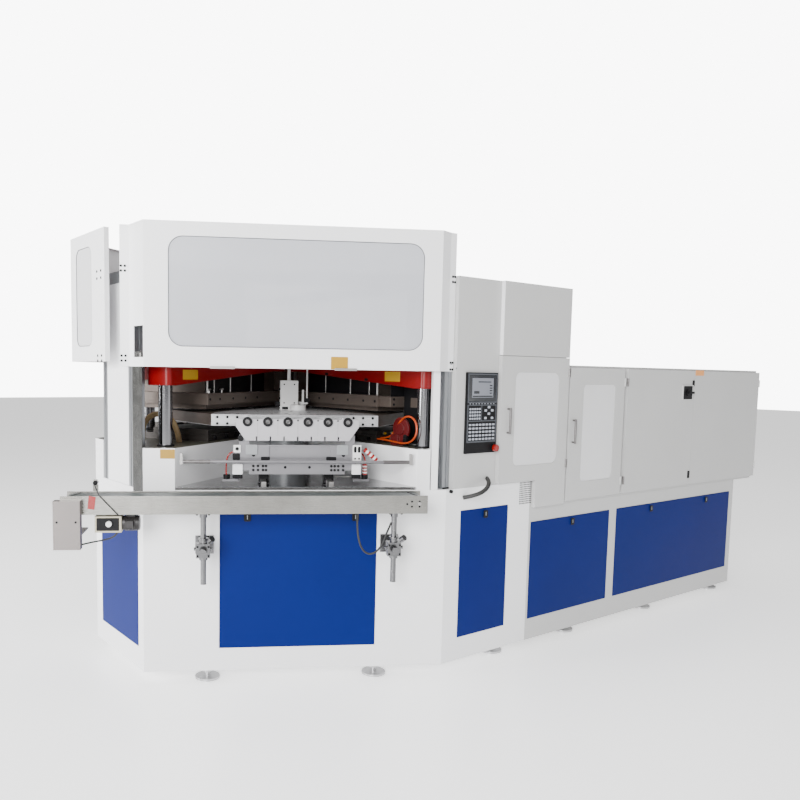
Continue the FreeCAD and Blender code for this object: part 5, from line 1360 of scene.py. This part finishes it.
@dataclass
class Stripper:
    """Stripping station on its slides.

    Attributes:
        plate_front: Front of the upper plate.
        carriage_front: Front of the carriage.
        pitch: Distance between the core rods.
        seat_z: Height of the rod seats.
        bar_z: Height of the guide bar.
        bar_rho: Distance of the guide bar from the turret axis.
        tube_rho: Distance of the air tubes.
    """

    plate_front: float = 764.95
    carriage_front: float = 743.9
    pitch: float = 100.0
    seat_z: float = 1305.0
    bar_z: float = 1108.0
    bar_rho: float = 789.9
    tube_rho: float = 702.0

    def build(self) -> list[bpy.types.Object]:
        """Dress the stripper and add screws, seats and fittings.

        Returns:
            The pieces of this part of the machine.
        """
        dress(STEEL, "stripper_rails")
        dress(CARRIAGE, "stripper_carriage")
        dress(SATIN_PLATE, "stripper_plate")
        return [self.seats(), self.cores(), self.plate_marks(), self.screws(), self.slots(), *self.side_blocks(),
                *self.feet(), *self.clamps(), self.sleeve()]

    def seats(self) -> bpy.types.Object:
        """Black rings round the holes for the core rods, with a screw between each pair.

        Returns:
            The finished piece.
        """
        piece = Piece("rod_seats", BLACK, "stripper", 0.8)
        for k in range(6):
            lat = (k - 2.5) * self.pitch
            self.ring(piece, lat, self.seat_z, (self.plate_front - 0.3, self.plate_front + 9.6), 11.5, 24.0)
        for k in range(5):
            piece.disc(STRIP, (k - 2.0) * self.pitch, 1312.0, (self.plate_front - 0.4, self.plate_front + 1.6),
                       4.5, 12)
        return piece.done()

    def cores(self) -> bpy.types.Object:
        """Steel core ends in the seats.

        Returns:
            The finished piece.
        """
        piece = Piece("core_ends", SLEEVE, "stripper", 0.8)
        for k in range(6):
            lat = (k - 2.5) * self.pitch
            self.ring(piece, lat, self.seat_z, (self.plate_front - 8.0, self.plate_front + 7.0), 8.5, 11.7)
        return piece.done()

    @staticmethod
    def ring(piece: Piece, u: float, v: float, w: tuple[float, float], inner: float, outer: float,
             sides: int = 24) -> None:
        """Add a flat ring on the stripper's face.

        Args:
            piece: Piece that takes the ring.
            u: Centre to the right.
            v: Centre height.
            w: Back and front.
            inner: Bore radius.
            outer: Outer radius.
            sides: Number of sides.
        """
        turns = [2 * math.pi * k / sides for k in range(sides)]
        loops = [[piece.mesh.verts.new(STRIP.point(u + radius * math.cos(a), v + radius * math.sin(a), depth))
                  for a in turns] for radius, depth in ((inner, w[0]), (outer, w[0]), (outer, w[1]), (inner, w[1]))]
        piece.skin(loops, True)

    def plate_marks(self) -> bpy.types.Object:
        """Joints between the segments of the stripper plate.

        Returns:
            The finished piece.
        """
        piece = Piece("plate_joints", GREY_PAINT, "stripper", 0.0)
        for k in range(5):
            lat = (k - 2) * self.pitch
            piece.block(STRIP, (lat - 0.6, lat + 0.6), (1236.0, 1300.0),
                        (self.plate_front - 0.3, self.plate_front + 0.3))
        return piece.done()

    def screws(self) -> bpy.types.Object:
        """Groups of socket screws in the lower plate.

        Returns:
            The finished piece.
        """
        piece = Piece("stripper_screws", BLACK, "stripper", 0.4)
        lats = [-219.0, -196.0, -171.0, -156.0, 173.0, 190.0, 208.0, 233.0]
        piece.screws(STRIP, grid(lats, [1062.0, 1082.0]), self.carriage_front, 7.0, 2.0)
        piece.screws(STRIP, [(-60.0, 1076.0), (62.0, 1076.0)], self.carriage_front, 7.0, 2.0)
        piece.screws(STRIP, [(-219.0, 1138.0), (233.0, 1138.0)], self.carriage_front, 9.0, 3.0)
        return piece.done()

    def slots(self) -> bpy.types.Object:
        """Dark slots above the screws and the dark slide blocks below them.

        Returns:
            The finished piece.
        """
        piece = Piece("stripper_slots", BLACK, "stripper", 1.0)
        for u0, u1 in ((-182.0, -137.0), (146.0, 197.0)):
            piece.round_plate(STRIP, (u0, u1), (1111.0, 1129.0),
                              (self.carriage_front - 0.4, self.carriage_front + 3.0), 5.0)
        for sign in (-1, 1):
            lat = sign * 166.0
            piece.block(STRIP, (lat - 26.0, lat + 26.0), (1002.0, 1034.0), (679.0, 684.0))
            for side in (-1, 1):
                edge = lat + side * 20.5
                piece.block(STRIP, (edge - 7.5, edge + 7.5), (990.0, 1002.0), (679.0, 684.0))
        return piece.done()

    def side_blocks(self) -> list[bpy.types.Object]:
        """Grey side brackets, the black knob and the bracket with the two ports.

        Returns:
            The finished pieces.
        """
        front = self.carriage_front
        grey = Piece("side_brackets", GREY_PAINT, "stripper", 1.0)
        white = Piece("port_blocks", KNOB_WHITE, "stripper", 1.0)
        black = Piece("port_faces", BLACK, "stripper", 0.6)
        for u0, u1 in ((-257.0, -199.0), (199.0, 257.0)):
            grey.round_plate(STRIP, (u0, u1), (1140.0, 1190.0), (front - 0.6, front + 9.0), 4.0)
        white.round_plate(STRIP, (279.0, 322.0), (1110.0, 1190.0), (front - 0.6, front + 16.0), 4.0)
        white.round_plate(STRIP, (-318.0, -282.0), (1150.0, 1188.0), (front - 0.6, front + 10.0), 4.0)
        for lat in (291.0, 311.0):
            black.round_plate(STRIP, (lat - 7.0, lat + 7.0), (1152.0, 1184.0), (front + 15.6, front + 17.0), 6.9)
            black.disc(STRIP, lat, 1122.0, (front + 15.6, front + 17.0), 5.0, 14)
        black.disc(STRIP, -282.0, 1222.0, (front - 0.4, front + 18.0), 15.0, 24)
        black.disc(STRIP, -300.0, 1169.0, (front + 9.6, front + 13.0), 9.0, 20)
        black.round_plate(STRIP, (-322.0, -286.0), (1112.0, 1144.0), (front - 0.6, front + 7.0), 4.0)
        return [grey.done(), white.done(), black.done()]

    def feet(self) -> list[bpy.types.Object]:
        """White end boxes on dark bases, and the slide rod beside them.

        Returns:
            The finished pieces.
        """
        front = self.carriage_front
        white = Piece("end_boxes", WHITE, "stripper", 1.2)
        black = Piece("end_box_bases", BLACK, "stripper", 0.8)
        for u0, u1 in ((-322.0, -272.0), (276.0, 322.0)):
            white.round_plate(STRIP, (u0, u1), (1041.0, 1093.0), (front - 0.6, front + 14.0), 4.0)
            black.round_plate(STRIP, (u0, u1), (1020.0, 1041.5), (front - 0.6, front + 11.0), 3.0)
        rod = Piece("slide_rod", STEEL, "stripper", 0.0)
        rod.rod(STRIP.point(192.0, 1021.0, 690.0), STRIP.point(276.0, 1021.0, 690.0), 4.0, 12)
        return [white.done(), black.done(), rod.done()]

    def clamps(self) -> list[bpy.types.Object]:
        """Striped clamp and wound tube end at the right air tube, and grommets below both.

        Returns:
            The finished pieces.
        """
        red = Piece("air_fittings", TUBE_RED, "stripper", 0.6)
        white = Piece("air_fitting_bands", KNOB_WHITE, "stripper", 0.4)
        start, stop = STRIP.point(340.0, 1168.0, 744.0), STRIP.point(404.0, 1113.0, 744.0)
        low, high = STRIP.point(350.0, 1034.0, self.tube_rho), STRIP.point(350.0, 1088.0, self.tube_rho)
        for first, last, radius in ((start, stop, 12.0), (low, high, 13.0)):
            for k in range(7):
                a, b = first.lerp(last, k / 7.0), first.lerp(last, (k + 1) / 7.0)
                (red if k % 2 == 0 else white).rod(a, b, radius, 18)
        black = Piece("tube_grommets", BLACK, "stripper", 0.6)
        for lat in (-352.0, 350.0):
            black.rod(STRIP.point(lat, 1011.5, self.tube_rho), STRIP.point(lat, 1034.0, self.tube_rho), 17.0, 24)
        return [red.done(), white.done(), black.done()]

    def sleeve(self) -> bpy.types.Object:
        """Dark sleeves on the guide bar beside the carriage.

        Returns:
            The finished piece.
        """
        piece = Piece("guide_bar_sleeves", SLEEVE, "stripper", 0.6)
        for u0, u1 in ((-560.0, -430.0), (430.0, 560.0)):
            piece.rod(STRIP.point(u0, self.bar_z, self.bar_rho), STRIP.point(u1, self.bar_z, self.bar_rho), 9.5, 20)
        return piece.done()


@dataclass
class Guards:
    """Lifting guards with their windows and fittings.

    Attributes:
        out: How far the front guard stands off the slanted face.
    """

    out: float = 30.0

    def build(self) -> list[bpy.types.Object]:
        """Dress the guards and add screws, patch and strips.

        Returns:
            The pieces of this part of the machine.
        """
        dress(WHITE, "front_guard")
        dress(WHITE, "blow_guard")
        dress(PANE, "front_window")
        dress(DOOR_PANE, "blow_window")
        return [self.screws(), self.blow_screws(), self.patch(), self.strips(), self.seal(), self.blow_seal()]

    def screws(self) -> bpy.types.Object:
        """Four screws at the top and bottom of both folded flanges.

        Returns:
            The finished piece.
        """
        piece = Piece("front_guard_screws", BLACK, "front_guard", 0.5)
        flange = Face((0.0, 22.0, 0.0), (1.0, 0.0, 0.0), (0.0, -1.0, 0.0))
        piece.screws(flange, grid([25.0, 40.0], [2037.0, 2011.0, 1611.0, 1577.0]), 0.0, 6.0, 2.5)
        left = grid([-1618.0, -1599.0], [2053.0, 2030.0, 1619.0, 1595.0])
        piece.screws(FRONT, left, -115.4, 6.0, 2.5)
        return piece.done()

    def blow_screws(self) -> bpy.types.Object:
        """Screws in the end sheet of the blow guard.

        Returns:
            The finished piece.
        """
        piece = Piece("blow_guard_screws", BLACK, "blow_guard", 0.5)
        piece.screws(END, grid([-1121.0, -1066.0], [2041.0, 2006.0, 1620.0, 1594.0]), 82.0, 6.5, 2.5)
        return piece.done()

    def patch(self) -> bpy.types.Object:
        """Plain yellow patch at the lower edge of the front guard.

        Returns:
            The finished piece.
        """
        piece = Piece("guard_patch", YELLOW, "front_guard", 0.0)
        piece.round_plate(FRONT, (-601.0, -517.0), (1568.0, 1629.0), (self.out - 0.2, self.out + 0.6), 4.0)
        return piece.done()

    def strips(self) -> bpy.types.Object:
        """Metal strips under the lower edge of the front guard.

        Returns:
            The finished piece.
        """
        piece = Piece("guard_edge_strips", STEEL, "front_guard", 0.5)
        for s0, s1 in ((1065.0, 1183.0), (473.0, 581.0)):
            piece.block(FRONT, (-s1, -s0), (1562.0, 1574.0), (self.out - 1.0, self.out + 6.0))
        return piece.done()

    def seal(self) -> bpy.types.Object:
        """Rubber seal round the front window."""
        return window_seal("front_window_seal", "front_guard", FRONT, (-1380.0, -148.0), (1665.0, 2182.0),
                           (self.out - 3.5, self.out - 0.4), 70.0)

    def blow_seal(self) -> bpy.types.Object:
        """Rubber seal round the window of the blow guard.

        Returns:
            The finished piece.
        """
        low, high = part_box("blow_window")
        u0 = -(high[1] - MACHINE.corner_y) / MM + 15.0
        u1 = -(low[1] - MACHINE.corner_y) / MM - 15.0
        return window_seal("blow_window_seal", "blow_guard", END, (u0, u1), (1670.0, 2180.0), (78.5, 81.6), 50.0)


def window_seal(name: str, body: str, face: Face, u: tuple[float, float], v: tuple[float, float],
                w: tuple[float, float], radius: float) -> bpy.types.Object:
    """Build a thin seal that runs round a window opening.

    Args:
        name: Name of the piece.
        body: Body that carries it.
        face: Plane of the window.
        u: Left and right edges of the opening.
        v: Lower and upper edges.
        w: Back and front of the seal.
        radius: Corner radius of the opening.

    Returns:
        The seal object.
    """
    piece = Piece(name, PANEL_GREY, body, 0.0)
    inner = radius - SEAL_WIDTH
    rings = ((radius, w[0]), (radius, w[1]), (inner, w[1]), (inner, w[0]))
    loops = [[piece.mesh.verts.new(face.point(a, b, depth)) for a, b in rounded(u, v, radius, reach, 8)]
             for reach, depth in rings]
    piece.skin(loops, True)
    return piece.done()


@dataclass
class Conveyor:
    """Outfeed conveyor on its hanging brackets.

    Attributes:
        low: Lower edge of the side sheets.
        top: Upper edge of the side sheets.
        out: How far the outer sheet stands off the slanted face.
        hangers: Places of the brackets along the slanted face.
        pipe_out: How far the brackets' pipes stand off the slanted face.
    """

    low: float = 888.0
    top: float = 974.0
    out: float = 206.0
    hangers: tuple[float, float] = (289.0, 1209.0)
    pipe_out: float = 125.0

    def build(self) -> list[bpy.types.Object]:
        """Dress the conveyor and add its small pieces.

        Returns:
            The pieces of this part of the machine.
        """
        dress(STAINLESS, "conveyor_frame")
        dress(COVER_GREY, "gear_cover")
        dress(BRACKET_STEEL, "conveyor_brackets")
        dress(BELT, "conveyor_belt")
        dress(STEEL, "drive_roller")
        dress(STEEL, "tail_roller")
        dress(MOTOR, "gear_motor")
        dress(BEIGE, "speed_box")
        dress(KNOB_WHITE, "speed_knob")
        return [self.screws(), self.tag(), self.slots(), self.box_face(), self.motor_ribs(), self.flange(),
                self.lips(), self.sensor()]

    def screws(self) -> bpy.types.Object:
        """Screws of the end plate, the gear cover and the bracket hubs.

        Returns:
            The finished piece.
        """
        piece = Piece("conveyor_screws", BLACK, "machine", 0.4)
        spots = [(-245.0, 934.0), (-222.0, 946.0), (-222.0, 922.0), (-185.0, 946.0), (-185.0, 922.0)]
        piece.screws(FRONT, spots, self.out + 3.0, 5.0, 2.0)
        piece.screws(FRONT, [(-1855.0, 862.0), (-1772.0, 862.0)], self.out + 44.0, 5.0, 2.0)
        for s in self.hangers:
            piece.screws(FRONT, grid([-s - 26.0, -s + 26.0], [678.0, 722.0]), 151.0, 5.0, 4.0)
            piece.screws(FRONT, grid([-s - 28.0, -s + 28.0], [881.0]), 158.0, 6.0, 9.0)
        return piece.done()

    def tag(self) -> bpy.types.Object:
        """Plain red tag that hangs by the belt's end.

        Returns:
            The finished piece.
        """
        piece = Piece("red_tag", TUBE_RED, "machine", 0.0)
        outline = [(-1721.0, 977.0), (-1690.0, 970.0), (-1697.0, 912.0), (-1728.0, 916.0)]
        piece.prism(FRONT, outline, self.out + 1.0, self.out + 2.2)
        return piece.done()

    def slots(self) -> bpy.types.Object:
        """Gaps between the belt and the end plates.

        Returns:
            The finished piece.
        """
        piece = Piece("belt_end_gaps", BLACK, "machine", 0.0)
        for s, lean in ((200.0, 14.0), (1800.0, -14.0)):
            a, b = FRONT.point(-s - lean, self.top - 5.6, 70.0), FRONT.point(-s + lean, self.top - 5.6, 190.0)
            piece.rod(a, b, 2.6, 8)
        return piece.done()

    def box_face(self) -> bpy.types.Object:
        """Black face of the speed box.

        Returns:
            The finished piece.
        """
        piece = Piece("speed_box_face", BLACK, "machine", 0.6)
        piece.round_plate(FRONT, (-1690.0, -1588.0), (812.0, 872.0), (199.8, 200.25), 4.0)
        return piece.done()

    def motor_ribs(self) -> bpy.types.Object:
        """Cooling ribs and terminal box of the gear motor.

        Returns:
            The finished piece.
        """
        piece = Piece("motor_ribs", MOTOR, "machine", 0.4)
        for k in range(7):
            s = 1508.0 + k * 9.0
            low = FRONT.point(-s, self.low - 46.0, 160.0)
            high = FRONT.point(-s - 3.0, self.low - 46.0, 160.0)
            piece.rod(low, high, 38.0, 28)
        piece.block(FRONT, (-1560.0, -1524.0), (826.0, 858.0), (190.0, 208.0))
        return piece.done()

    def flange(self) -> bpy.types.Object:
        """Rings and cross pins of the bracket clamps.

        Returns:
            The finished piece.
        """
        piece = Piece("bracket_rings", BRACKET_STEEL, "machine", 0.8)
        for s in self.hangers:
            for z0, z1, radius in ((654.0, 668.0, 20.0), (734.0, 752.0, 19.0), (752.0, 760.0, 24.0),
                                   (858.0, 880.0, 18.0), (535.0, 539.0, 14.6)):
                piece.rod(FRONT.point(-s, z0, self.pipe_out), FRONT.point(-s, z1, self.pipe_out), radius, 24)
            piece.rod(FRONT.point(-s - 44.0, 708.0, 132.0), FRONT.point(-s + 44.0, 708.0, 132.0), 8.0, 16)
            piece.rod(FRONT.point(-s + 30.0, 748.0, 150.0), FRONT.point(-s + 44.0, 764.0, 168.0), 15.0, 20)
        return piece.done()

    def lips(self) -> bpy.types.Object:
        """Folded lips along the side sheets.

        Returns:
            The finished piece.
        """
        piece = Piece("conveyor_lips", STAINLESS, "machine", 0.6)
        span, height = (-1850.0, -147.0), (self.low, self.low + 3.0)
        piece.block(FRONT, span, height, (self.out - 22.0, self.out - 2.0))
        piece.block(FRONT, span, height, (57.0, 75.0))
        for s in (420.0, 760.0, 1100.0, 1440.0):
            piece.block(FRONT, (-s - 1.0, -s + 1.0), (self.low + 2.0, self.top - 2.0),
                        (self.out - SINK, self.out + SINK))
        return piece.done()

    def sensor(self) -> bpy.types.Object:
        """Sensor head at the left of the conveyor, on its bent arm.

        Returns:
            The finished piece.
        """
        piece = Piece("sensor_body", BLACK, "machine", 0.8)
        piece.disc(FRONT, -1717.0, 1016.0, (40.0, 76.0), 11.0, 20)
        elbow = FRONT.point(-1676.0, 978.0, 209.0)
        piece.rod(FRONT.point(-1722.0, 1010.0, 66.0), elbow, 2.6, 10)
        piece.rod(elbow, FRONT.point(-1590.0, 886.0, 209.0), 2.6, 10)
        return piece.done()


class Bend(Enum):
    """How readily a cord bends."""

    LIMP = "limp"
    MEDIUM = "medium"


@dataclass
class Cords:
    """Hoses and cables; their points repeat the routes of the solids."""

    def build(self) -> list[bpy.types.Object]:
        """Returns:
            The pieces of this part of the machine.
        """
        side = [(300, 0, 1010), (275, -45, 995), (215, -70, 960), (160, -50, 935), (125, 0, 920)]
        speed = [(1598, 160, 804), (1612, 160, 776), (1665, 170, 762), (1715, 192, 758), (1753, 212, 752)]
        bracket = [(470, 125, 888), (474, 128, 800), (452, 132, 700), (405, 134, 668), (352, 132, 705),
                   (325, 128, 780), (302.5, 125, 830)]
        hose = [(455, -800, 1175), (458, -806, 1235), (436, -790, 1300), (385, -765, 1330), (325, -738, 1305),
                (290, -722, 1240), (283, -718, 1175)]
        loop = [(-35, 475, 1200), (-38, 405, 1204), (-50, 345, 1246), (-62, 285, 1312), (-74, 212, 1338),
                (-86, 146, 1316), (-92, 124, 1258), (-90, 160, 1208), (-82, 232, 1188), (-74, 320, 1192),
                (-66, 400, 1196), (-60, 475, 1196)]
        made = [
            self.cord("control_conduit", [MACHINE.meters(*p) for p in side], 22.0, RUBBER, "machine", 0.248,
                      Bend.MEDIUM),
            self.cord("speed_cable", [FRONT.point(-s, z, w) for s, w, z in speed], 8.0, RUBBER, "machine", 0.183,
                      Bend.LIMP),
            self.cord("bracket_cable", [FRONT.point(-s, z, w) for s, w, z in bracket], 10.0, RUBBER, "machine",
                      0.436, Bend.LIMP),
            self.cord("blow_hose", [self.blow_point(*p) for p in hose], 30.0, TAN, "machine", 0.396, Bend.MEDIUM),
            self.cord("injection_hose", [MACHINE.meters(*p) for p in loop], 10.0, ORANGE, "machine", 0.810,
                      Bend.LIMP),
        ]
        for sign, name in ((-1, "air_tube_left"), (1, "air_tube_right")):
            tube = [(352, 702, 1012), (356, 702, 1062), (350, 702, 1126), (326, 702, 1150), (300, 702, 1152)]
            points = [STRIP.point(sign * lat, z, rho) for lat, rho, z in tube]
            made.append(self.cord(name, points, 8.0, TUBE_RED, "stripper", 0.172, Bend.LIMP))
        return made

    @staticmethod
    def blow_point(rho: float, lat: float, z: float) -> Vector:
        """Point of the blow station from its distance and side offset."""
        return BLOW_IN.point(lat, z, -rho)

    @staticmethod
    def cord(node: str, points: Sequence[Vector], diameter: float, finish: Finish, body: str, length: float,
             bend: Bend) -> bpy.types.Object:
        """Args:
            node: Node of the frame that it stands for.
            points: Route in metres.
            diameter: Diameter in mm.
            finish: Its finish.
            body: Body that carries it.
            length: Real length in metres; not used.
            bend: How readily it bends; not used.

        Returns:
            The curve object.
        """
        curve = bpy.data.curves.new(node + "_route", "CURVE")
        curve.dimensions = "3D"
        curve.bevel_depth = diameter / 2.0 * MM
        curve.bevel_resolution = 5
        curve.use_fill_caps = True
        spline = curve.splines.new("NURBS")
        spline.points.add(len(points) - 1)
        for holder, place in zip(spline.points, points):
            holder.co = (*place, 1.0)
        spline.order_u = 3
        spline.use_endpoint_u = True
        spline.resolution_u = 16
        thing = bpy.data.objects.new(node + "_cord", curve)
        bpy.context.scene.collection.objects.link(thing)
        curve.materials.append(SHOP.material(finish))
        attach(thing, body)
        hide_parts(node)
        return thing


# ------------------------------------------------------------------ floor, light and camera
@dataclass
class Studio:
    """Plain pale floor, soft light and the camera at the photograph's angle.

    Attributes:
        place: Camera in machine millimetres.
        yaw: Heading in degrees from +X.
        pitch: Rise in degrees.
        roll: Tilt in degrees.
        focal_px: Focal length in pixels of the 800 pixel frame.
        centre_px: Principal point in pixels.
        frame_px: Edge of the frame in pixels.
        surround: Strength of the light from all sides.
        backdrop: Strength of the plain white backdrop behind the machine.
        floor_half: Half the edge of the floor in metres.
        floor_tone: Base colour of the floor.
        floor_glow: Light that the floor gives off itself.
    """

    place: Point = (-2786.6, -2754.3, 1547.0)
    yaw: float = 53.7
    pitch: float = -5.2
    roll: float = -0.9
    focal_px: float = 771.7
    centre_px: tuple[float, float] = (325.3, 443.8)
    frame_px: float = 800.0
    surround: float = 0.42
    backdrop: float = 9.0
    floor_half: float = 40.0
    floor_tone: float = 0.95
    floor_glow: float = 0.8

    def build(self) -> None:
        """Set up floor, lights, world and camera."""
        self.floor()
        self.lights()
        self.camera()

    def floor(self) -> None:
        """Large plain floor."""
        half = self.floor_half
        data = bpy.data.meshes.new("floor")
        data.from_pydata([(-half, -half, 0), (half, -half, 0), (half, half, 0), (-half, half, 0)], [],
                         [(0, 1, 2, 3)])
        thing = bpy.data.objects.new("floor", data)
        bpy.context.scene.collection.objects.link(thing)
        paint = bpy.data.materials.new("pale_floor")
        paint.use_nodes = True
        shader = paint.node_tree.nodes["Principled BSDF"]
        shader.inputs["Base Color"].default_value = (self.floor_tone, self.floor_tone, self.floor_tone, 1.0)
        shader.inputs["Roughness"].default_value = 0.35
        shader.inputs["Emission Color"].default_value = (1.0, 1.0, 1.0, 1.0)
        shader.inputs["Emission Strength"].default_value = self.floor_glow
        data.materials.append(paint)

    @staticmethod
    def area(name: str, place: Point, target: Point, size: float, power: float) -> None:
        """Add one soft area light.

        Args:
            name: Name of the light.
            place: Position in metres.
            target: Point it looks at.
            size: Edge in metres.
            power: Watts.
        """
        light = bpy.data.lights.new(name, "AREA")
        light.size = size
        light.energy = power
        thing = bpy.data.objects.new(name, light)
        thing.location = place
        thing.rotation_euler = (Vector(target) - Vector(place)).to_track_quat("-Z", "Y").to_euler()
        bpy.context.scene.collection.objects.link(thing)

    def lights(self) -> None:
        """Front light from the left, weaker light on the long side, light from above."""
        self.area("front_light", (-9.5, -6.5, 4.0), (-1.2, 0.0, 1.2), 4.5, 1900.0)
        self.area("side_light", (5.0, -9.0, 3.0), (2.0, -1.0, 1.0), 5.0, 60.0)
        self.area("end_light", (-8.0, 2.5, 2.5), (-1.5, 0.3, 1.5), 3.0, 800.0)
        self.area("top_light", (0.0, 0.0, 8.0), (0.0, 0.0, 0.0), 7.0, 450.0)
        world = bpy.data.worlds.new("studio")
        world.use_nodes = True
        nodes, link = world.node_tree.nodes, world.node_tree.links.new
        ray = nodes.new("ShaderNodeLightPath")
        level = nodes.new("ShaderNodeMapRange")
        level.inputs["To Min"].default_value = self.surround
        level.inputs["To Max"].default_value = self.backdrop
        link(ray.outputs["Is Camera Ray"], level.inputs["Value"])
        link(level.outputs["Result"], nodes["Background"].inputs["Strength"])
        nodes["Background"].inputs["Color"].default_value = (1.0, 1.0, 1.0, 1.0)
        bpy.context.scene.world = world

    def camera(self) -> None:
        """Camera solved from the photograph's straight edges."""
        yaw, pitch, roll = (math.radians(v) for v in (self.yaw, self.pitch, self.roll))
        ahead = Vector((math.cos(pitch) * math.cos(yaw), math.cos(pitch) * math.sin(yaw), math.sin(pitch)))
        right = Vector((math.sin(yaw), -math.cos(yaw), 0.0))
        up = right.cross(ahead)
        right, up = (right * math.cos(roll) - up * math.sin(roll), right * math.sin(roll) + up * math.cos(roll))
        data = bpy.data.cameras.new("camera")
        data.sensor_width = 36.0
        data.lens = self.focal_px * data.sensor_width / self.frame_px
        data.shift_x = (self.frame_px / 2.0 - self.centre_px[0]) / self.frame_px
        data.shift_y = (self.centre_px[1] - self.frame_px / 2.0) / self.frame_px
        data.clip_end = 200.0
        thing = bpy.data.objects.new("camera", data)
        turn = Matrix((right, up, -ahead)).transposed().to_4x4()
        thing.matrix_world = Matrix.Translation(MACHINE.meters(*self.place)) @ turn
        bpy.context.scene.collection.objects.link(thing)
        bpy.context.scene.camera = thing


def main() -> None:
    """Build the machine's looks in order and report each piece."""
    logging.basicConfig(level=logging.INFO, format="%(message)s")
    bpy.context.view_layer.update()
    builders: list[tuple[str, Callable]] = [
        ("cabinets", Cabinets().build), ("control station", ControlStation().build),
        ("mould bay", MouldBay().build), ("stripper", Stripper().build), ("guards", Guards().build),
        ("conveyor", Conveyor().build), ("cords", Cords().build)]
    for label, build in builders:
        for thing in build():
            LOG.info("%s: %s", label, thing.name)
    Studio().build()


if __name__ == "__main__":
    main()
